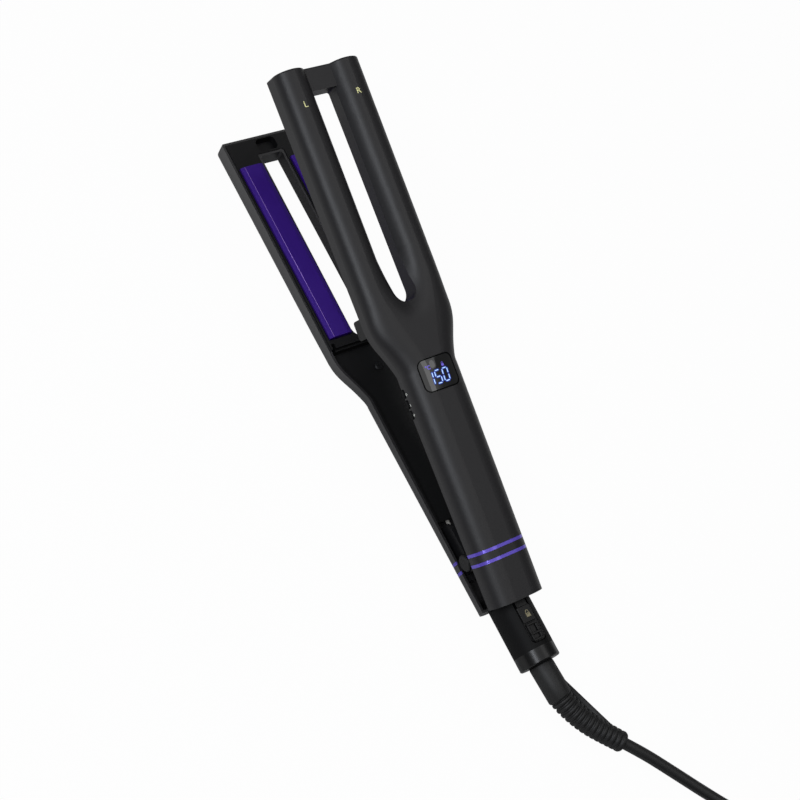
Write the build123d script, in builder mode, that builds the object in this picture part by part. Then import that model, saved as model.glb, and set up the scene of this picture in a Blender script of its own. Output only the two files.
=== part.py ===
from build123d import *
import os
from math import cos, pi, radians, sin, tan

os.makedirs("parts", exist_ok=True)

# A hair straightener with two forked arms, each carrying two heated plates, in millimetres.
# The row frame has +X towards the fork's tip, +Y towards the left barrel and +Z up.
# The lower arm lies flat on the table and the upper arm stands open, as the spring holds it.
# Both arms are modelled closed, with the hinge pin at the origin and the plates meeting at z = 0,
# as the upper arm; the lower arm is that shape mirrored. Each piece is placed when it is written.

# Arm lengths and heights
tip_to_hinge = 268.0
hinge_to_tail = 27.0
arm_height = 18.2
opening_angle = 14.0
half_gap_tip = 2.8
half_gap_hinge = 6.3
shell_wall = 1.4
rest_flat_depth = 0.3

# Fork: two half-round barrels with a slot between them
fork_half_width = 25.7
barrel_width = 18.8
fork_dome = 8.0
slot_from_tip = 12.5
slot_length = 118.0
slot_corner = 1.2
bridge_height = 12.7
fork_valley_height = 5.0

# Handle and the shoulder between handle and fork
handle_half_waist = 17.2
handle_half_tail = 16.4
handle_dome = 9.4
handle_crown_half = 5.0
shoulder_back = 100.0
shoulder_front = 130.0
shoulder_step = 6.0
valley_back = 126.0
valley_front = 166.0
tip_round = 0.9

# Heated plates, four alike
plate_width = 14.0
plate_length = 109.5
plate_from_tip = 17.8
plate_thickness = 3.0
plate_bevel_width = 2.4
plate_bevel_depth = 0.8
plate_clearance = 0.15
plate_side_gap = 0.2
plate_end_gap = 0.4
plate_travel = 0.8
heater_width = 9.0
heater_length = 92.0
heater_thickness = 2.2
heater_round = 0.5
sensor_length = 6.0
sensor_width = 3.0
sensor_thickness = 0.8
pad_length = 8.0
pad_width = 8.0
pad_thickness = 1.0
pad_round = 1.0

# Liners: the black inner parts that carry the plates and close the handles
liner_gap = 0.1
liner_face = 2.35
liner_back = 8.5
liner_floor = 1.2
liner_wall = 1.2
liner_recess = 0.4
block_from_plate = 5.5
lower_liner_start = 27.0
upper_liner_start = 17.0
lower_tray_floor = 10.7
upper_tray_floor = 7.8
peg_width = 11.4
peg_length = 7.1
peg_reach = 6.0
peg_gap = 0.4
peg_round = 2.0
peg_end_round = 0.8
pocket_depth = 5.2
tab_length = 10.5
tab_thickness = 1.3
tab_reach = 5.8
tab_round = 1.8
tab_back = 127.2
tab_outer = 23.6
notch_gap = 0.35
notch_depth = 3.0

# Purple bands round both handles, beside the hinge
band_width = 1.8
band_pitch = 5.7
band_depth = 0.6
band_gap = 0.05

# Hinge
pin_radius = 1.5
pin_running_gap = 0.05
upper_ear_inner = 7.6
ear_thickness = 2.2
ear_gap = 0.3
boss_radius = 4.65
cap_outer = 16.4
cap_chamfer = 0.5
bracket_back = 12.2
bracket_plate = 1.4
bracket_tail = 8.0
upper_bracket_front = 13.0
lower_bracket_front = 24.0
cheek_top = 1.2
screw_radius = 1.1
screw_head_radius = 2.2
screw_head_height = 1.5
screw_head_chamfer = 0.5
screw_slot_length = 2.6
screw_slot_width = 0.7
screw_gap = 0.05
hinge_screw_depth = 4.5
liner_screw_depth = 4.4
screw_hole_depth = 3.5
screw_boss_radius = 3.0
upper_bracket_screws = (-5.0, 9.0)
lower_bracket_screws = (-5.0, 18.0)
liner_screws = (33.0, 120.0)

# Opening spring: a torsion spring wound round the hinge pin
spring_wire = 1.1
spring_radius = 3.2
spring_turns = 5
spring_pitch = 2.0
spring_leg = 13.0
spring_rest = 3.0
spring_seat_gap = 0.25

# Display, board and side buttons, on the upper arm
window_centre = 97.6
window_length = 18.1
window_width = 22.2
window_round = 3.8
window_gap = 0.1
window_sink = 0.15
window_thickness = 1.2
module_length = 14.0
module_width = 14.6
module_thickness = 2.4
module_drop = 1.15
module_post_radius = 0.6
module_post_inset = 1.5
board_start = 42.0
board_end = 112.0
board_width = 20.0
board_thickness = 1.2
board_gap = 0.3
button_places = (("power_button", 93.4), ("minus_button", 87.6), ("plus_button", 81.8))
button_length = 4.6
button_height = 2.4
button_drop = 0.6
button_proud = 0.6
button_gap = 0.15
button_flange = 0.5
button_travel = 0.5
switch_gap = 0.7

# Neck, lock slider and cord swivel behind the handle
neck_radius = 11.55
neck_drop = 6.3
neck_wall = 1.8
neck_end = 56.0
neck_cover_start = 28.1
collar_length = 7.5
collar_chamfer = 0.5
spigot_radius = 10.2
spigot_length = 8.0
spigot_gap = 0.1
channel_width = 9.2
channel_end = 53.8
channel_floor = 2.6
channel_floor_thickness = 1.2
channel_round = 2.4
slider_width = 8.6
slider_end = 53.2
slider_front = 33.0
slider_lift = 0.15
slider_top = 5.0
slider_travel = 6.0
slider_ribs = 4
rib_pitch = 3.2
rib_width = 1.5
rib_height = 0.9
rib_margin = 1.4
rib_from_end = 2.0
tongue_width = 6.6
tongue_bottom = 3.4
tongue_top = 5.2
latch_gap = 0.3
latch_height = 2.5
latch_length = 2.5
latch_from_tail = 0.5
clip_length = 5.0
clip_width = 3.4
clip_head_width = 6.0
clip_head_height = 1.0
bush_radius = 6.55
bush_running_gap = 0.05
bush_flange_radius = 7.4
bush_flange = 2.0
bush_bore = 2.6
contact_thickness = 0.5
brush_gap = 0.3
brush_thickness = 2.6
lead_radius = 1.0
lead_spread = 4.4

# Cord guard, cord and plug
guard_root_radius = 6.9
guard_root_round = 0.7
guard_core_radius = 5.4
guard_rib_radius = 6.5
guard_rib_taper = 0.055
guard_rib_width = 1.9
guard_ribs = 14
guard_gap = 0.3
cord_diameter = 6.4
coil_radius = 53.0
coil_inner_half_turns = 10
turn_gap = 0.6
tie_thickness = 0.8
tie_width = 6.0
tie_gap = 0.5
plug_boot_length = 12.0
plug_shoulder_length = 10.0
plug_block_length = 24.0
plug_width = 35.3
plug_thickness = 14.0
plug_boot_radius = 5.0
pin_spacing = 18.6
plug_pin_radius = 2.0
plug_pin_length = 19.0
plug_pin_chamfer = 0.6

# Places that follow from the driving sizes
overall_length = tip_to_hinge + neck_end + collar_length + guard_gap
hinge_x = overall_length / 2 - tip_to_hinge
hinge_z = arm_height - rest_flat_depth
lower_place = Location((hinge_x, 0, hinge_z))
upper_place = Location((hinge_x, 0, hinge_z), (0, -opening_angle, 0))
row_place = Location((0, 0, 0))
slot_half = fork_half_width - barrel_width
barrel_centre = fork_half_width - barrel_width / 2
slot_start = tip_to_hinge - slot_from_tip
slot_root = slot_start - slot_length
plate_front = tip_to_hinge - plate_from_tip
plate_back = plate_front - plate_length
block_start = plate_back - block_from_plate
latch_back = -(hinge_to_tail - latch_from_tail)
channel_top = neck_radius - neck_drop
far = 400.0


def kept(piece, name, place):
    """Place a finished piece in the row frame, label it and write its file."""
    placed = piece.moved(place)
    placed.label = name
    export_step(placed, f"parts/{name}.step")
    return placed


def ease(x, start, end):
    """A smooth step from 0 to 1 between two places along the arm."""
    t = min(max((x - start) / (end - start), 0.0), 1.0)
    return t * t * (3 - 2 * t)


def half_width(x):
    share = min((x + hinge_to_tail) / (shoulder_back + hinge_to_tail), 1.0)
    handle = handle_half_tail + (handle_half_waist - handle_half_tail) * share
    return handle + (fork_half_width - handle) * ease(x, shoulder_back, shoulder_front)


def crown_half(x):
    turn = ease(x, shoulder_back, slot_root + 2 * slot_half)
    return handle_crown_half + (barrel_centre - handle_crown_half) * turn


def wall_top(x):
    return arm_height - handle_dome + (handle_dome - fork_dome) * ease(x, shoulder_back, shoulder_front)


def valley(x):
    return arm_height - (arm_height - fork_valley_height) * ease(x, valley_back, valley_front)


def rim(x):
    return half_gap_hinge + (half_gap_tip - half_gap_hinge) * x / tip_to_hinge


def arm_section(x, inset):
    """The arm's outline across X: straight walls, rounded shoulders and a valley between the crowns."""
    quarter = 0.5523
    w, top, side = half_width(x) - inset, arm_height - inset, wall_top(x)
    crown, low = crown_half(x), valley(x) - inset
    rise, run = quarter * (top - side), quarter * (w - crown)
    near, floor = 0.575 * crown, 0.4 * crown

    def at(y, z):
        return Vector(x, y, z)

    # The curves stay separate edges, because one joined curve gives the lofts a poor surface
    edges = [
        Edge.make_line(at(-w, 0), at(w, 0)),
        Edge.make_line(at(w, 0), at(w, side)),
        Edge.make_bezier(at(w, side), at(w, side + rise), at(crown + run, top), at(crown, top)),
        Edge.make_bezier(at(crown, top), at(crown - near, top), at(floor, low), at(0, low)),
        Edge.make_bezier(at(0, low), at(-floor, low), at(near - crown, top), at(-crown, top)),
        Edge.make_bezier(at(-crown, top), at(-crown - run, top), at(-w, side + rise), at(-w, side)),
        Edge.make_line(at(-w, side), at(-w, 0)),
    ]
    return Face(Wire(edges))


def arm_body(inset, start, end):
    """The arm's outside, or an inset copy of it, from one place along X to another."""
    shoulder = []
    x = shoulder_back
    while x < valley_front - shoulder_step / 2:
        shoulder.append(x)
        x += shoulder_step
    shoulder.append(valley_front)
    with BuildPart() as body:
        if start < shoulder_back:
            loft([arm_section(start, inset), arm_section(shoulder_back, inset)], ruled=True)
        loft([arm_section(x, inset) for x in shoulder])
        extrude(arm_section(valley_front, inset), amount=end - valley_front, dir=(1, 0, 0))
    return body.part


def slot_prism(margin, low, high):
    """The slot between the barrels, square at the tip and round at the root, widened by a margin."""
    start = slot_root + slot_half
    length = slot_start + margin - start
    with BuildPart() as prism:
        with BuildSketch(Plane.XY.offset(low)) as outline:
            with Locations((start + length / 2, 0)):
                Rectangle(length, 2 * (slot_half + margin))
            front = outline.vertices().group_by(Axis.X)[-1]
            fillet(front, slot_corner)
            with Locations((start, 0)):
                Circle(slot_half + margin)
        extrude(amount=high - low)
    return prism.part


def bridge_box(inset, end):
    """The flat bridge that joins the two barrels at the tip."""
    start = slot_start + inset
    with BuildPart() as bridge:
        with BuildSketch(Plane.XY):
            with Locations(((start + end) / 2, 0)):
                Rectangle(end - start, 2 * (slot_half + shell_wall + 1))
        extrude(amount=bridge_height - inset)
        if inset == 0:
            front_edges = bridge.edges().filter_by(Axis.Y).sort_by(Axis.X)[-2:]
            fillet(front_edges.sort_by(Axis.Z)[-1], tip_round)
    return bridge.part


def block(x0, x1, y0, y1, z0, z1):
    """A plain block between two corners."""
    with BuildPart() as box:
        with BuildSketch(Plane.XY.offset(z0)):
            with Locations(((x0 + x1) / 2, (y0 + y1) / 2)):
                Rectangle(x1 - x0, y1 - y0)
        extrude(amount=z1 - z0)
    return box.part


def side_profile(points, half):
    """A prism across Y from an outline in X and Z."""
    with BuildPart() as prism:
        with BuildSketch(Plane.XZ):
            with BuildLine():
                Polyline(*points, close=True)
            make_face()
        extrude(amount=half, both=True)
    return prism.part


def rim_plane(lift):
    """The parting plane of an arm, lifted into the arm."""
    slope = (half_gap_tip - half_gap_hinge) / tip_to_hinge
    return Plane(origin=(0, 0, half_gap_hinge + lift), x_dir=(1, 0, slope), z_dir=(-slope, 0, 1))


def window_prism(margin, low, high):
    with BuildPart() as prism:
        with BuildSketch(Plane.XY.offset(low)):
            with Locations((window_centre, 0)):
                RectangleRounded(window_length + 2 * margin, window_width + 2 * margin, window_round + margin)
        extrude(amount=high - low)
    return prism.part


def round_post(x, y, radius, low, high):
    with BuildPart() as post:
        with BuildSketch(Plane.XY.offset(low)):
            with Locations((x, y)):
                Circle(radius)
        extrude(amount=high - low)
    return post.part


def screw(x, seat, depth):
    """A pan-head screw that clamps at z = seat and runs outwards by depth."""
    with BuildPart() as body:
        with BuildSketch(Plane.XY.offset(seat - screw_head_height)):
            with Locations((x, 0)):
                Circle(screw_head_radius)
        extrude(amount=screw_head_height)
        chamfer(body.edges().filter_by(GeomType.CIRCLE).group_by(Axis.Z)[0], screw_head_chamfer)
        with BuildSketch(Plane.XY.offset(seat)):
            with Locations((x, 0)):
                Circle(screw_radius)
        extrude(amount=depth)
        with BuildSketch(Plane.XY.offset(seat - screw_head_height)):
            with Locations((x, 0)):
                Rectangle(screw_slot_length, screw_slot_width)
                Rectangle(screw_slot_width, screw_slot_length)
        extrude(amount=screw_slot_width, mode=Mode.SUBTRACT)
    return body.part


def mirrored(piece):
    with BuildPart() as copy:
        add(piece)
        mirror(about=Plane.XY, mode=Mode.REPLACE)
    return copy.part


# Outer shells
outer = arm_body(0, -hinge_to_tail, tip_to_hinge)
inner_end = tip_to_hinge - shell_wall


def arm_outside():
    with BuildPart() as outside:
        add(outer)
        tip_edges = outside.faces().sort_by(Axis.X)[-1].edges()
        fillet(tip_edges.filter_by(lambda edge: edge.center().Z > half_gap_tip), tip_round)
        add(bridge_box(0, tip_to_hinge))
    return outside.part


def hollow(start):
    """The space inside a shell, with the slot's own walls left standing."""
    with BuildPart() as space:
        add(arm_body(shell_wall, start, inner_end))
        add(bridge_box(shell_wall, inner_end))
        add(slot_prism(shell_wall, -1, arm_height + 1), mode=Mode.SUBTRACT)
    return space.part


def hoop(centre, depth, width):
    """A ring round the handle, from just outside it down to a depth."""
    back, front = centre - width / 2, centre + width / 2
    with BuildPart() as ring:
        loft([arm_section(back, -1), arm_section(front, -1)], ruled=True)
        loft([arm_section(back, depth), arm_section(front, depth)], ruled=True, mode=Mode.SUBTRACT)
    return ring.part


def band_grooves(depth, width):
    """Two grooves round the handle, one each side of the hinge pin."""
    with BuildPart() as grooves:
        for side in (-1, 1):
            add(hoop(side * band_pitch / 2, depth, width))
    return grooves.part


def screw_boss(x, top):
    """A post inside the shell that a screw runs into."""
    with BuildPart() as boss:
        add(round_post(x, 0, screw_boss_radius, top, arm_height))
        add(outer, mode=Mode.INTERSECT)
    return boss.part


def shell(hollow_start, bosses):
    with BuildPart() as body:
        add(arm_outside())
        add(hollow(hollow_start), mode=Mode.SUBTRACT)
        for x, top in bosses:
            add(screw_boss(x, top))
        add(slot_prism(0, -1, arm_height + 1), mode=Mode.SUBTRACT)
        split(bisect_by=rim_plane(0), keep=Keep.TOP)
        add(band_grooves(band_depth, band_width), mode=Mode.SUBTRACT)
        for x, top in bosses:
            add(round_post(x, 0, screw_radius + screw_gap, top, top + screw_hole_depth), mode=Mode.SUBTRACT)
    return body.part


upper_bosses = [(x, bracket_back) for x in upper_bracket_screws]
upper_bosses += [(x, upper_tray_floor) for x in liner_screws]
lower_bosses = [(x, bracket_back) for x in lower_bracket_screws]
lower_bosses += [(x, lower_tray_floor) for x in liner_screws]


def button_notch(x, margin, low, high):
    """The gap under the rim that a side button comes through."""
    wide = half_width(x)
    return block(
        x - button_length / 2 - margin,
        x + button_length / 2 + margin,
        wide - shell_wall - liner_wall - 1.5,
        wide + 1,
        low,
        high,
    )


def notch_cut(sign):
    """The pocket in the lower rim that a guide tab enters."""
    outer_face = sign * (tab_outer + notch_gap)
    inner_face = sign * (tab_outer - tab_thickness - notch_gap)
    y0, y1 = min(outer_face, inner_face), max(outer_face, inner_face)
    return block(
        tab_back - notch_gap, tab_back + tab_length + notch_gap, y0, y1, 0, rim(tab_back) + notch_depth
    )


with BuildPart() as upper_shell:
    add(shell(-hinge_to_tail - 1, upper_bosses))
    add(window_prism(0, bracket_back, arm_height + 1), mode=Mode.SUBTRACT)
    for _, place in button_places:
        add(
            button_notch(place, button_gap, 0, rim(place) - button_drop + button_height + button_gap),
            mode=Mode.SUBTRACT,
        )

with BuildPart() as lower_shell_up:
    add(shell(-hinge_to_tail + shell_wall, lower_bosses))
    for sign in (-1, 1):
        add(notch_cut(sign), mode=Mode.SUBTRACT)
    with BuildSketch(Plane.YZ.offset(-hinge_to_tail - 1)):
        with Locations((0, neck_drop)):
            Circle(spigot_radius + spigot_gap)
    extrude(amount=shell_wall + 2, mode=Mode.SUBTRACT)
    split(bisect_by=Plane.XY.offset(arm_height - rest_flat_depth), keep=Keep.BOTTOM)

kept(upper_shell.part, "upper_shell", upper_place)
kept(mirrored(lower_shell_up.part), "lower_shell", lower_place)


# Bands
with BuildPart() as upper_bands:
    add(band_grooves(band_depth - band_gap, band_width - 2 * band_gap))
    add(outer, mode=Mode.INTERSECT)
    split(bisect_by=rim_plane(0), keep=Keep.TOP)

with BuildPart() as lower_bands_up:
    add(upper_bands.part)
    split(bisect_by=Plane.XY.offset(arm_height - rest_flat_depth), keep=Keep.BOTTOM)

kept(upper_bands.part, "upper_bands", upper_place)
kept(mirrored(lower_bands_up.part), "lower_bands", lower_place)


# Liners
def plate_pocket(sign):
    side = plate_width / 2 + plate_side_gap
    return block(
        plate_back - plate_end_gap,
        plate_front + plate_end_gap,
        sign * barrel_centre - side,
        sign * barrel_centre + side,
        0,
        liner_back - liner_floor,
    )


def tray_space(start, inset, tray_back):
    """The hollow of the liner's handle part, inside its walls and floor."""
    with BuildPart() as space:
        add(arm_body(inset + liner_wall, start - 1, tip_to_hinge - inset))
        slab = block(start - 1, block_start - liner_wall, -far, far, -1, tray_back - liner_floor)
        add(slab, mode=Mode.INTERSECT)
    return space.part


def liner(start, tray_back):
    inset = shell_wall + liner_gap
    end = tip_to_hinge - inset
    recess = liner_recess
    with BuildPart() as body:
        add(arm_body(inset, start, end))
        add(bridge_box(inset, end))
        add(slot_prism(inset, -1, arm_height + 1), mode=Mode.SUBTRACT)
        add(block(block_start, tip_to_hinge, -far, far, -1, liner_face), mode=Mode.SUBTRACT)
        add(block(block_start, tip_to_hinge, -far, far, liner_back, far), mode=Mode.SUBTRACT)
        handle_front = side_profile(
            [
                (start - 1, -1),
                (block_start, -1),
                (block_start, rim(block_start) + recess),
                (start - 1, rim(start - 1) + recess),
            ],
            far,
        )
        add(handle_front, mode=Mode.SUBTRACT)
        add(block(start - 1, block_start, -far, far, tray_back, far), mode=Mode.SUBTRACT)
        add(tray_space(start, inset, tray_back), mode=Mode.SUBTRACT)
        for sign in (-1, 1):
            add(plate_pocket(sign), mode=Mode.SUBTRACT)
        for x in liner_screws:
            add(round_post(x, 0, screw_radius + screw_gap, 0, far), mode=Mode.SUBTRACT)
    return body.part


def tip_stud(length, width, corner, low, high):
    centre = (slot_start + tip_to_hinge) / 2
    with BuildPart() as stud:
        with BuildSketch(Plane.XY.offset(low)):
            with Locations((centre, 0)):
                RectangleRounded(length, width, corner)
        extrude(amount=high - low)
    return stud.part


def guide_tab(sign):
    """A rounded tongue that hangs below the upper rim and enters the lower one as the arms close."""
    low = -tab_reach
    high = liner_back - 1
    y1 = sign * (tab_outer - tab_thickness)
    y2 = sign * tab_outer
    with BuildPart() as tab:
        add(block(tab_back, tab_back + tab_length, min(y1, y2), max(y1, y2), low, high))
        fillet(tab.edges().filter_by(Axis.Y).group_by(Axis.Z)[0], tab_round)
    return tab.part


def guide_peg():
    with BuildPart() as peg:
        add(tip_stud(peg_length, peg_width, peg_round, -peg_reach, liner_face + 1))
        fillet(peg.faces().sort_by(Axis.Z)[0].edges(), peg_end_round)
    return peg.part


with BuildPart() as upper_liner:
    add(liner(upper_liner_start, upper_tray_floor))
    add(guide_peg())
    for sign in (-1, 1):
        add(guide_tab(sign))
    low_button = rim(button_places[-1][1]) - button_drop - 1
    add(
        block(
            button_places[-1][1] - button_length / 2 - 1.2,
            button_places[0][1] + button_length / 2 + 1.2,
            board_width / 2 - 0.5,
            far,
            low_button,
            upper_tray_floor + 1,
        ),
        mode=Mode.SUBTRACT,
    )

with BuildPart() as lower_liner_up:
    add(liner(lower_liner_start, lower_tray_floor))
    add(
        tip_stud(
            peg_length + 2 * peg_gap,
            peg_width + 2 * peg_gap,
            peg_round + peg_gap,
            0,
            liner_face + pocket_depth,
        ),
        mode=Mode.SUBTRACT,
    )
    for sign in (-1, 1):
        add(notch_cut(sign), mode=Mode.SUBTRACT)

kept(upper_liner.part, "upper_liner", upper_place)
kept(mirrored(lower_liner_up.part), "lower_liner", lower_place)


# Heated plates with their heaters, sensors and the pads behind them
def plate(sign):
    centre = sign * barrel_centre
    with BuildPart() as body:
        with BuildSketch(Plane.XY.offset(plate_clearance)):
            with Locations(((plate_front + plate_back) / 2, centre)):
                Rectangle(plate_length, plate_width)
        extrude(amount=plate_thickness)
        long_edges = body.edges().filter_by(Axis.X).group_by(Axis.Z)[0]
        face = body.faces().sort_by(Axis.Z)[0]
        chamfer(long_edges, plate_bevel_width, plate_bevel_depth, reference=face)
    return body.part


def heater(sign):
    middle = (plate_front + plate_back) / 2
    back = plate_clearance + plate_thickness
    centre = sign * barrel_centre
    with BuildPart() as body:
        with BuildSketch(Plane.XY.offset(back)):
            with Locations((middle, centre)):
                Rectangle(heater_length, heater_width)
        extrude(amount=heater_thickness)
        fillet(body.edges().filter_by(Axis.X), heater_round)
    return body.part


def sensor(sign):
    middle = (plate_front + plate_back) / 2
    back = plate_clearance + plate_thickness + heater_thickness
    with BuildPart() as body:
        with BuildSketch(Plane.XY.offset(back)):
            with Locations((middle, sign * barrel_centre)):
                RectangleRounded(sensor_length, sensor_width, sensor_width / 2 - 0.1)
        extrude(amount=sensor_thickness)
    return body.part


def pads():
    """Silicone pads on the pocket floors, which the plates bear on when the arms are squeezed."""
    floor = liner_back - liner_floor
    middle = (plate_front + plate_back) / 2
    with BuildPart() as body:
        with BuildSketch(Plane.XY.offset(floor - pad_thickness)):
            for sign in (-1, 1):
                for step in (-1, 1):
                    with Locations((middle + step * heater_length / 3, sign * barrel_centre)):
                        RectangleRounded(pad_length, pad_width, pad_round)
        extrude(amount=pad_thickness)
    return body.part


for side, sign in (("left", 1), ("right", -1)):
    kept(plate(sign), f"upper_{side}_plate", upper_place)
    kept(mirrored(plate(sign)), f"lower_{side}_plate", lower_place)
    kept(heater(sign), f"upper_{side}_heater", upper_place)
    kept(mirrored(heater(sign)), f"lower_{side}_heater", lower_place)
    kept(sensor(sign), f"upper_{side}_sensor", upper_place)
    kept(mirrored(sensor(sign)), f"lower_{side}_sensor", lower_place)
kept(pads(), "upper_pads", upper_place)
kept(mirrored(pads()), "lower_pads", lower_place)


# Hinge
upper_ear_outer = upper_ear_inner + ear_thickness
lower_ear_inner = upper_ear_outer + ear_gap
lower_ear_outer = lower_ear_inner + ear_thickness
spring_rest_face = spring_radius + spring_wire / 2 + spring_seat_gap


def ear_cut(radius):
    with BuildPart() as cut:
        with BuildSketch(Plane.XZ):
            Circle(radius)
        extrude(amount=far, both=True)
    return cut.part


def bracket(front, ear_inner, ear_outer, nose_top, screws, bore):
    """A plate on the shell's bosses with two ears down to the pin and a bar that a spring leg bears on."""
    plate_top = bracket_back - bracket_plate
    with BuildPart() as body:
        add(block(-bracket_tail, front, -ear_outer, ear_outer, plate_top, bracket_back))
        for sign in (-1, 1):
            with BuildSketch(Plane.XZ.offset(-sign * ear_outer)):
                Circle(boss_radius)
                with BuildLine():
                    Polyline(
                        (-boss_radius, 0),
                        (-boss_radius, bracket_back),
                        (front, bracket_back),
                        (front, nose_top + 4),
                        (front - 4, nose_top),
                        (0, nose_top),
                        close=True,
                    )
                make_face()
            extrude(amount=sign * (ear_outer - ear_inner))
        add(
            block(
                spring_leg - spring_rest,
                spring_leg,
                -ear_inner,
                ear_inner,
                spring_rest_face,
                spring_rest_face + ear_thickness,
            )
        )
        add(ear_cut(bore), mode=Mode.SUBTRACT)
        for x in screws:
            add(round_post(x, 0, screw_radius + screw_gap, 0, far), mode=Mode.SUBTRACT)
    return body.part


upper_bracket = bracket(
    upper_bracket_front,
    upper_ear_inner,
    upper_ear_outer,
    spring_rest_face,
    upper_bracket_screws,
    pin_radius + pin_running_gap,
)
lower_bracket = bracket(
    lower_bracket_front,
    lower_ear_inner,
    lower_ear_outer,
    cheek_top,
    lower_bracket_screws,
    pin_radius + pin_running_gap / 5,
)
kept(upper_bracket, "upper_hinge_bracket", upper_place)
kept(mirrored(lower_bracket), "lower_hinge_bracket", lower_place)

with BuildPart() as hinge_pin:
    with BuildSketch(Plane.XZ):
        Circle(pin_radius)
    extrude(amount=lower_ear_outer, both=True)

with BuildPart() as hinge_caps:
    for sign in (-1, 1):
        with BuildSketch(Plane.XZ.offset(-sign * lower_ear_outer)):
            Circle(boss_radius)
        extrude(amount=-sign * (cap_outer - lower_ear_outer))
    chamfer(hinge_caps.edges().filter_by(GeomType.CIRCLE).group_by(Axis.Y)[0], cap_chamfer)
    chamfer(hinge_caps.edges().filter_by(GeomType.CIRCLE).group_by(Axis.Y)[-1], cap_chamfer)

kept(hinge_pin.part, "hinge_pin", lower_place)
kept(hinge_caps.part, "hinge_caps", lower_place)


def screws_at(places, seat, depth):
    with BuildPart() as group:
        for x in places:
            add(screw(x, seat, depth))
    return group.part


bracket_seat = bracket_back - bracket_plate
kept(screws_at(upper_bracket_screws, bracket_seat, hinge_screw_depth), "upper_hinge_screws", upper_place)
lower_group = screws_at(lower_bracket_screws, bracket_seat, hinge_screw_depth)
kept(mirrored(lower_group), "lower_hinge_screws", lower_place)
upper_seat = upper_tray_floor - liner_floor
lower_seat = lower_tray_floor - liner_floor
kept(screws_at(liner_screws, upper_seat, liner_screw_depth), "upper_liner_screws", upper_place)
lower_group = screws_at(liner_screws, lower_seat, liner_screw_depth)
kept(mirrored(lower_group), "lower_liner_screws", lower_place)


# Wound wire: half turns that keep a level tangent at both ends, so each joins the next smoothly
def half_turn(start, side, heading, radius, climb):
    """One half circle from a point: side points at the centre, and climb is the rise along it."""
    end = start + side * (2 * radius) + climb
    middle = (start + end) * 0.5 + heading * ((end - start).length / 2)
    return ThreePointArc(start, middle, end), end


def least_gap(edges, thickness, skip):
    """The smallest space between turns of a wound tube, from points along its centre line."""
    points = [edge.position_at(i / 12) for edge in edges for i in range(12)]
    best = far
    for i, p in enumerate(points):
        for q in points[i + skip :]:
            best = min(best, (p - q).length)
    return best - thickness


# Opening spring: legs on the two bars, turns round the pin
turn_width = spring_turns * spring_pitch
leg_angle = radians(opening_angle)
across = Vector(0, 1, 0)
start = Vector(spring_leg, -turn_width / 2, -spring_radius)
foot = Vector(0, -turn_width / 2, -spring_radius)
spring_edges = [Line(start, foot)]
here = foot
side, heading = Vector(0, 0, 1), Vector(-1, 0, 0)
for _ in range(2 * spring_turns):
    arc, here = half_turn(here, side, heading, spring_radius, across * (spring_pitch / 2))
    spring_edges.append(arc)
    side, heading = side * -1, heading * -1
last_angle = pi / 2 + leg_angle
turned = Vector(spring_radius * cos(last_angle), here.Y, spring_radius * sin(last_angle))
halfway = (last_angle + 3 * pi / 2) / 2
middle = Vector(spring_radius * cos(halfway), here.Y, spring_radius * sin(halfway))
spring_edges.append(ThreePointArc(here, middle, turned))
leg_end = turned + Vector(cos(leg_angle), 0, sin(leg_angle)) * spring_leg
spring_edges.append(Line(turned, leg_end))

with BuildPart() as opening_spring:
    with BuildLine() as spring_path:
        for edge in spring_edges:
            add(edge)
    with BuildSketch(Plane(origin=start, z_dir=(-1, 0, 0))):
        RegularPolygon(spring_wire / 2, 6)
    sweep()
spring_turn_edges = spring_edges[1:-2]
print("spring: least gap between turns", round(least_gap(spring_turn_edges, spring_wire, 18), 2))
kept(opening_spring.part, "opening_spring", lower_place)


# Display and electronics
window_back = arm_height - window_sink - window_thickness
with BuildPart() as display_window:
    add(arm_body(window_sink, -hinge_to_tail, tip_to_hinge))
    add(window_prism(-window_gap, bracket_back, arm_height + 1), mode=Mode.INTERSECT)
    add(arm_body(window_sink + window_thickness, -hinge_to_tail, tip_to_hinge), mode=Mode.SUBTRACT)
kept(display_window.part, "display_window", upper_place)

board_back = upper_tray_floor + board_gap
board_face = board_back + board_thickness
module_face = window_back - module_drop
with BuildPart() as display_module:
    add(
        block(
            window_centre - module_length / 2,
            window_centre + module_length / 2,
            -module_width / 2,
            module_width / 2,
            module_face - module_thickness,
            module_face,
        )
    )
    for x in (-1, 1):
        for y in (-1, 1):
            add(
                round_post(
                    window_centre + x * (module_length / 2 - module_post_inset),
                    y * (module_width / 2 - module_post_inset),
                    module_post_radius,
                    board_face,
                    module_face - module_thickness,
                )
            )
kept(display_module.part, "display_module", upper_place)

with BuildPart() as control_board:
    add(block(board_start, board_end, -board_width / 2, board_width / 2, board_back, board_face))
    add(block(60, 67, -3.5, 3.5, board_face, board_face + 1.2))
    add(block(46, 54, -8, 2, board_face, board_face + 3.2))
    add(block(72, 80, -8, -2, board_face, board_face + 2.4))
kept(control_board.part, "control_board", upper_place)

switch_face = {}
with BuildPart() as button_switches:
    for name, place in button_places:
        wide = half_width(place)
        switch_face[name] = wide - shell_wall - 2 * button_flange - switch_gap - 2.4
        centre = rim(place) - button_drop + button_height / 2
        add(
            block(
                place - 1.9,
                place + 1.9,
                board_width / 2 - 0.3,
                switch_face[name],
                centre - 1.1,
                board_back,
            )
        )
kept(button_switches.part, "button_switches", upper_place)


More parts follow.
